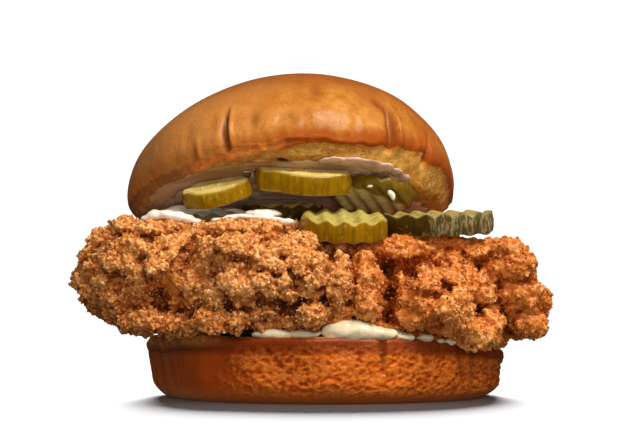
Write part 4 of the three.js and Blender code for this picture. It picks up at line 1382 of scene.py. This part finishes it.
meat = smoothed(remeshed(copy_of("chicken_fillet", "meat"), MEAT_VOXEL), 2)
skin = take_shape(copy_of("chicken_fillet", "skin"))
skin_tree = BVHTree.FromPolygons(skin[0].tolist(), skin[1].tolist())
points = points_of(meat)
inset = MEAT_INSET + FRONT_INSET * front(points)
put_points(meat, points - normals_of(meat) * inset[:, None])
print("meat", len(meat.data.polygons), "faces")


# %% Clumps on the meat
def clump(seed, x, z, across, up, turn, proud):
    """One flattened lump on the skin, as points and triangles."""
    spot, normal, _, _ = skin_tree.ray_cast((x, -200, z), (0, 1, 0))
    if spot is None:
        spot, normal, _, _ = skin_tree.find_nearest((x, -42, z))
    right = (Vector((1, 0, 0)) - normal * normal.x).normalized()
    over = normal.cross(right)
    c, s = math.cos(math.radians(turn)), math.sin(math.radians(turn))
    thick = max(1.4, 0.85 * min(across, up))
    axes = np.array([right * c + over * s, over * c - right * s, normal]).T
    shape = take_shape(lump_shape(0.5, 3, 1.7 * seed))
    middle = np.array(spot + normal * (proud - 0.75 * thick))
    return copies(shape, (axes * [across * 1.3, up * 1.3, thick])[None], middle[None])


clumps = [clump(seed, *row) for seed, row in enumerate(CLUMPS)]
lobes = [
    copies(take_shape(lump_shape(0.4, 3, 7.7 * i)), np.diag(half)[None], np.array([middle]))
    for i, (middle, half) in enumerate(LOBES)
]
print(len(clumps), "clumps and", len(lobes), "lobes")

# %% Clods on the meat
meat_shape = take_shape(meat)
clods = pressed(meat_shape, 420, 1.1, 2.5, crumbed, 0.05, 1, 0.9)
body = smoothed(remeshed(joined([meat_shape, *lobes, *clumps, *clods], "body"), 0.7), 1)
print("body", len(body.data.polygons), "faces")

# %% Popped batter and carved hollows
points, outwards = points_of(body), calm_normals(body, 7)
shown, bare = front(points), in_pockets(points)
lumps = (1.7 - 1.2 * shown) * popped(points, 6.8, 4.6) + 0.8 * popped(points, 3.3, 2.2)
lumps += 0.75 * popped(points, 1.9, 7.7)
push = (lumps - 1.0 - 0.9 * (1 - shown)) * (0.4 + 0.6 * shown) * (1 - 0.8 * bare)
inwards = np.array([0, 0.8, 0]) - 0.4 * outwards
points = points + outwards * push[:, None] + inwards * hollowed(points)[:, None]
put_points(body, points)
body = smoothed(body, 1)
print("popped up to", round(float(push.max()), 2), "mm")

# %% Grains on the clods
body_shape = take_shape(body)
grains = pressed(
    body_shape, 2600, 0.5, 1.1, lambda p: crumbed(p) * (1 - 0.7 * right_part(p)), 0.15, 1, 0.9)
grains += pressed(
    body_shape, 2000, 0.45, 1.2, lambda p: crumbed(p) * right_part(p), 0.15, 1, 0.75, 0.5)
crust = remeshed(joined([body_shape, *grains], "crust"), 0.42)
print("crust", len(crust.data.polygons), "faces")

# %% Fewer faces where nobody looks
CRUST_FACES = 270_000

shown = front(points_of(crust))
hidden = crust.vertex_groups.new(name="hidden")
for level in np.unique(np.round(1 - shown, 1)):
    picked = np.flatnonzero(np.round(1 - shown, 1) == level).tolist()
    hidden.add(picked, float(level), "REPLACE")
thin = crust.modifiers.new("thin", "DECIMATE")
thin.vertex_group = "hidden"
thin.vertex_group_factor = 6
thin.ratio = min(1, CRUST_FACES / len(crust.data.polygons))
crust = with_modifiers_applied(crust)
print("thinned to", len(crust.data.polygons), "faces")

# %% Smooth pockets and fine grit
GRIT = 0.22

points = points_of(crust)
calmer = relaxed(points, edges_of(crust), 3)
points += (calmer - points) * np.maximum(0.03 * right_part(points), in_pockets(points))[:, None]
put_points(crust, points)
grit = GRIT * soft_noise(points, 1.0, 3.3)
put_points(crust, points + normals_of(crust) * grit[:, None])


# %% Sorting peaks from hollows
def relief_of(piece, rounds):
    """How far each corner stands out from the skin's own average, in millimetres."""
    points, normals = points_of(piece), normals_of(piece)
    return ((points - relaxed(points, edges_of(piece), rounds, 0.6)) * normals).sum(axis=1)


peak = relief_of(crust, 9)
mark(crust, "peak", peak)
mark(crust, "ledge", relief_of(crust, 80))
mark(crust, "pocket", in_pockets(points))
print("spread of the small relief", round(float(peak[front(points) > 0.5].std()), 3))

# %% How deep each place lies, for painted shade
def triangles_of(piece):
    piece.data.calc_loop_triangles()
    flat = np.empty(len(piece.data.loop_triangles) * 3, dtype=np.int32)
    piece.data.loop_triangles.foreach_get("vertices", flat)
    return points_of(piece), flat.reshape(-1, 3)


GOLDEN_TURN = 2.39996  # the angle between neighbours on an even spiral
SUNK_REACH = 6.0


def sunkness(places, normals, tree, reach, rays=9):
    """The share of short rays from each place that hit the crust again, painted in as shade."""
    spiral = np.arange(rays) + 0.5
    rise = np.sqrt(1 - spiral / rays * 0.92)
    out, round_by = np.sqrt(1 - rise**2), spiral * GOLDEN_TURN
    fan = np.stack([out * np.cos(round_by), out * np.sin(round_by), rise], axis=1)
    side = np.cross(normals, [0.31, 0.95, 0.12])
    side /= np.linalg.norm(side, axis=1)[:, None]
    other = np.cross(normals, side)
    starts = (places + normals * 0.25).tolist()
    hits = np.zeros(len(places))
    for a, b, c in fan:
        ways = (side * a + other * b + normals * c).tolist()
        hits += [tree.ray_cast(*ray, reach)[0] is not None for ray in zip(starts, ways)]
    return hits / rays


# %% Marking the depth for painted shade
crust_shape = triangles_of(crust)
crust_tree = BVHTree.FromPolygons(crust_shape[0].tolist(), crust_shape[1].tolist())
seen = np.flatnonzero(front(crust_shape[0]) > 0.25)
deep = np.full(len(crust_shape[0]), 0.25)
deep[seen] = sunkness(crust_shape[0][seen], calm_normals(crust, 2)[seen], crust_tree, SUNK_REACH)
deep = relaxed(deep[:, None].repeat(3, axis=1), edges_of(crust), 1)[:, 0]
mark(crust, "deep", deep)
print("crust", len(crust.data.polygons), "faces, mean depth", round(float(deep[seen].mean()), 2))

# %% [markdown]
# The crust's colour follows its form: high grains are paler and the batter between them orange
# and then red-brown, partly the crust's own colour and partly painted light and shade. Three
# stored numbers, for small lumps, for large ones and for depth, make one tone, and the depth is
# painted shade. It reads two ramps: a golden one, and a redder one for the oilier right half.

# %% Fried colours
# From the bottom of a hollow to the top of a grain.
GOLDEN = [
    (0.0, (0.10, 0.020, 0.003)), (0.25, (0.31, 0.070, 0.011)), (0.45, (0.49, 0.142, 0.025)),
    (0.66, (0.68, 0.262, 0.064)), (0.98, (0.86, 0.50, 0.18)),
]
ORANGE = [
    (0.0, (0.10, 0.013, 0.001)), (0.28, (0.32, 0.050, 0.005)), (0.52, (0.54, 0.128, 0.014)),
    (0.74, (0.69, 0.225, 0.042)), (1.0, (0.88, 0.46, 0.155)),
]
POCKET_DARK, POCKET_BRIGHT = (0.24, 0.026, 0.002), (0.86, 0.31, 0.045)


def fried_tone(look, mottle, speck, pits, oily):
    """0 in the deepest hollow and 1 on the palest grain."""
    x, _, z = look.parts(look.place)
    peak, ledge, deep = (look.stored(name) for name in ("peak", "ledge", "deep"))
    cloud = look.noise(13, 3)
    # Painted light and shade: peaks are painted paler and hollows darker, over the crust's own
    # mottled tone.
    height = peak * (3.0 - oily * 1.2) + ledge * 0.16
    height = height + (cloud - 0.5) * 0.7 + (mottle - 0.5) * 1.2
    height = height + ((speck - 0.5) * 1.5 - (pits - 0.4) * 0.5) * (1 - oily * 0.5)
    # The underside of the left half is painted darker, as painted shade, and the flap at the right
    # paler, as painted light.
    flap = x.rising(30, 38) * (1 - x.rising(50, 56)) * (1 - z.rising(29, 35))
    underside = (1 - z.rising(25, 34)) * (1 - x.rising(-8, 8))
    # Painted shade: deep, the share of rays that hit the crust again, darkens the tone.
    return height * 0.38 + 0.60 - deep * 0.46 - underside * 0.13 + flap * 0.13


# %% Fried breading
def breading():
    look = Finish("fried_breading")
    x, y, _ = look.parts(look.place)
    mottle = look.noise(3.2, 4, 0.6)
    speck = look.noise(0.7, 3, 0.6)
    pits = look.cells(1.15).rising(0.15, 0.75)
    pocket = look.stored("pocket")
    # The right half and a few bare pockets fried redder and oilier.
    oily = (x + (look.noise(13, 3) - 0.5) * 30).rising(-4, 16)
    tone = fried_tone(look, mottle, speck, pits, oily)
    colour = look.mix(oily * 0.85, look.ramp(tone, GOLDEN), look.ramp(tone, ORANGE))
    bare = look.mix((mottle + (x + 48) * 0.06).rising(0.3, 0.75), POCKET_DARK, POCKET_BRIGHT)
    colour = look.mix(pocket * 0.8, colour, bare)
    slick = (oily * (1 - pocket) + pocket) * (1 - y.rising(-25, 5) * 0.8)
    return look.set(
        base_color=colour,
        roughness=0.62 - slick * 0.24 + (speck - 0.5) * 0.3,
        specular_ior_level=0.4,
        specular_tint=(1.0, 0.8, 0.55, 1),
        coat_weight=0.03 + slick * 0.14,
        coat_roughness=0.2,
        subsurface_weight=0.04,
        subsurface_radius=(1.0, 0.45, 0.18),
        subsurface_scale=1.0 * MM,
        normal=look.bump((speck * 0.5 + (1 - pits) * 0.6) * (1 - slick * 0.5), 0.34),
    )


fried = breading()

# %% [markdown]
# The whole crust is too heavy for one mesh, so two upright planes cut it in three. The cut ends
# are closed, and the three pieces touch there, so no seam shows between them.

# %% Cutting the crust in three
CUTS = (-28.0, 17.0)


def slice_of(piece, name, low, high):
    """The part of a closed piece between two upright planes, with its cut ends closed."""
    bm = bmesh.new()
    bm.from_mesh(piece.data)
    for at, keep_above in ((low, True), (high, False)):
        if at is None:
            continue
        made = bmesh.ops.bisect_plane(
            bm, geom=bm.verts[:] + bm.edges[:] + bm.faces[:], plane_co=(at * MM, 0, 0),
            plane_no=(1, 0, 0), clear_outer=not keep_above, clear_inner=keep_above)
        rim = [part for part in made["geom_cut"] if isinstance(part, bmesh.types.BMEdge)]
        outwards = (-1 if keep_above else 1, 0, 0)
        ends = bmesh.ops.triangle_fill(bm, use_beauty=True, edges=rim, normal=outwards)
        for face in ends["geom"]:
            if isinstance(face, bmesh.types.BMFace):
                face.smooth = False
        for edge in rim:
            edge.smooth = False
    return piece_from(bm, name)


for side, low, high in (("left", None, CUTS[0]), ("middle", *CUTS), ("right", CUTS[1], None)):
    finished(slice_of(crust, "fried_crust_" + side, low, high), fried, "breading", "chicken_fillet")
bpy.data.objects.remove(crust)

# %% [markdown]
# ## Loose crumbs and pepper
#
# The last things on the crust are too small for the remesh: dry crumbs, finer grains, pale
# beads of flour and cracked pepper. Each kind is one piece, joined from copies of one pebble
# with 20 to 48 triangles, which is enough for something less than two millimetres across.
# They are shaded flat, as crumbs have edges.

# %% Scattering on the crust
def strewn(name, count, small, large, liking, proud, flat, material, shape=None):
    """Copies of a pebble on the crust, with the marks that its material reads."""
    spots, normals = spots_on(*crust_shape, count, liking)
    size = lump_dice.uniform(small, large, count)
    sizes = size[:, None] * lump_dice.uniform(0.7, 1.25, (count, 3))
    sizes[:, 2] *= flat
    turns = random_turns(count) * sizes[:, None, :]
    shape = take_shape(shape or lump_shape(0.95, 1, count))
    piece = joined([copies(shape, turns, spots + normals * (size * proud)[:, None])], name)
    owner = np.repeat(np.arange(count), len(shape[0]))
    out = ((points_of(piece) - spots[owner]) * normals[owner]).sum(axis=1)
    paler = lump_dice.normal(0.02, 0.09, count)
    # Each crumb is painted paler towards its outer side, as painted light, with a random paleness
    # of its own, and darker where the crust occludes it, as painted shade.
    mark(piece, "peak", out * 0.25 + paler[owner])
    mark(piece, "deep", sunkness(spots, normals, crust_tree, SUNK_REACH)[owner])
    finished(piece, material, "breading")
    piece.data.shade_flat()


# %% Pepper and flour
def pepper():
    look = Finish("pepper")
    colour = look.mix(look.noise(0.5, 2), (0.012, 0.008, 0.006), (0.07, 0.035, 0.02))
    return look.set(base_color=colour, roughness=0.6, normal=look.bump(look.noise(0.3, 2), 0.1))


def dry_flour():
    look = Finish("dry_flour")
    pale = look.noise(1.1, 3).rising(0.3, 0.7)
    colour = look.mix(pale, (0.74, 0.42, 0.16), (0.90, 0.70, 0.45))
    return look.set(base_color=colour, roughness=0.7, normal=look.bump(look.noise(0.4, 2), 0.12))


# %% Strewing them
def floury(points):
    """Flour gathers low on the middle of the front."""
    return crumbed(points) * hill(points[:, 0] + 18, 24) * step_up(46 - points[:, 2], 0, 8)


strewn("crust_crumbs", 4000, 0.32, 0.80, crumbed, 0.15, 0.75, fried, crumb_shape(3.7))
strewn("crust_grains", 9600, 0.20, 0.42, crumbed, 0.15, 0.85, fried)
strewn("flour_beads", 520, 0.26, 0.44, floury, 0.3, 0.9, dry_flour())
strewn("pepper_specks", 200, 0.25, 0.48, front, 0.15, 0.7, pepper())

# %% [markdown]
# ## Floor and light
#
# The burger stands on plain white. One large soft light above the right shoulder draws the long
# highlights on the glaze, weak ones fill the left and the front, and a pale sky does the rest.
# The floor has a light of its own from far behind, which makes it bright enough to melt into
# the background, so that only the soft shadow shows.

# %% Floor
FLOOR_RADIUS = 0.36

bm = bmesh.new()
bmesh.ops.create_circle(bm, cap_ends=True, segments=96, radius=FLOOR_RADIUS)
floor = piece_from(bm, "floor")
paper = Finish("paper")
floor.data.materials.append(paper.set(
    base_color=paper.mix(paper.noise(400, 2), (0.44, 0.44, 0.44), (0.46, 0.46, 0.46)),
    roughness=0.9,
    specular_ior_level=0.0,
))
floor.visible_glossy = False
floor.visible_diffuse = False


# %% Lights
def reach_of(name, chosen, state):
    """A collection that says what a lamp lights, leaves out or is shaded by."""
    group = bpy.data.collections.new(name)
    group.objects.link(chosen)
    group.collection_objects[0].light_linking.link_state = state
    return group


def soft_light(name, place, size, watts, colour, lit=None, shaded_by=None, glossy=True):
    """A round soft light aimed at the burger. It lights one thing alone, or all but the floor."""
    lamp = bpy.data.objects.new(name, bpy.data.lights.new(name, "AREA"))
    lamp.data.shape = "DISK"
    lamp.data.size = size
    lamp.data.energy = watts
    lamp.data.color = colour
    lamp.location = place
    lamp.rotation_euler = (Vector((0, 0, 0.05)) - Vector(place)).to_track_quat("-Z", "Y").to_euler()
    bpy.context.scene.collection.objects.link(lamp)
    reach = reach_of(name + "_reach", lit or floor, "INCLUDE" if lit else "EXCLUDE")
    lamp.light_linking.receiver_collection = reach
    lamp.visible_camera = False
    lamp.visible_glossy = glossy
    if shaded_by:
        lamp.light_linking.blocker_collection = reach_of(name + "_shade", shaded_by, "INCLUDE")


WARM = (1.0, 0.97, 0.93)

soft_light("key", (0.32, -0.40, 0.72), 0.48, 9.0, (1.0, 0.97, 0.92))
soft_light("fill", (-0.50, -0.60, 0.35), 0.5, 0.8, WARM, glossy=False)
soft_light("front", (0.16, -0.85, 0.03), 0.4, 2.6, WARM, glossy=False)
soft_light("floor_light", (0, 4, 1.38), 1.7, 1450, (1, 1, 1), lit=floor, shaded_by=heel)

# %% Sky
SKY, SKY_ABOVE, DIMMED_IN_GLAZE = 0.11, 0.13, 0.75

world = bpy.data.worlds.new("studio")
world.use_nodes = True
sky = world.node_tree
sky.nodes.clear()
ray = sky.nodes.new("ShaderNodeLightPath")
seen, mirrored = (Flow(sky, ray.outputs[name]) for name in ("Is Camera Ray", "Is Glossy Ray"))
split = sky.nodes.new("ShaderNodeSeparateXYZ")
sky.links.new(sky.nodes.new("ShaderNodeTexCoord").outputs["Generated"], split.inputs[0])
overhead = Flow(sky, split.outputs["Z"]).rising(-0.35, 0.5)
backdrop = sky.nodes.new("ShaderNodeBackground")
backdrop.inputs["Color"].default_value = (1, 1, 1, 1)
glow = (SKY + overhead * SKY_ABOVE) * (1 - mirrored * DIMMED_IN_GLAZE)
fill(sky, backdrop.inputs["Strength"], glow + seen)
output = sky.nodes.new("ShaderNodeOutputWorld")
sky.links.new(backdrop.outputs[0], output.inputs["Surface"])
bpy.context.scene.world = world
bpy.context.scene.view_settings.view_transform = "Standard"
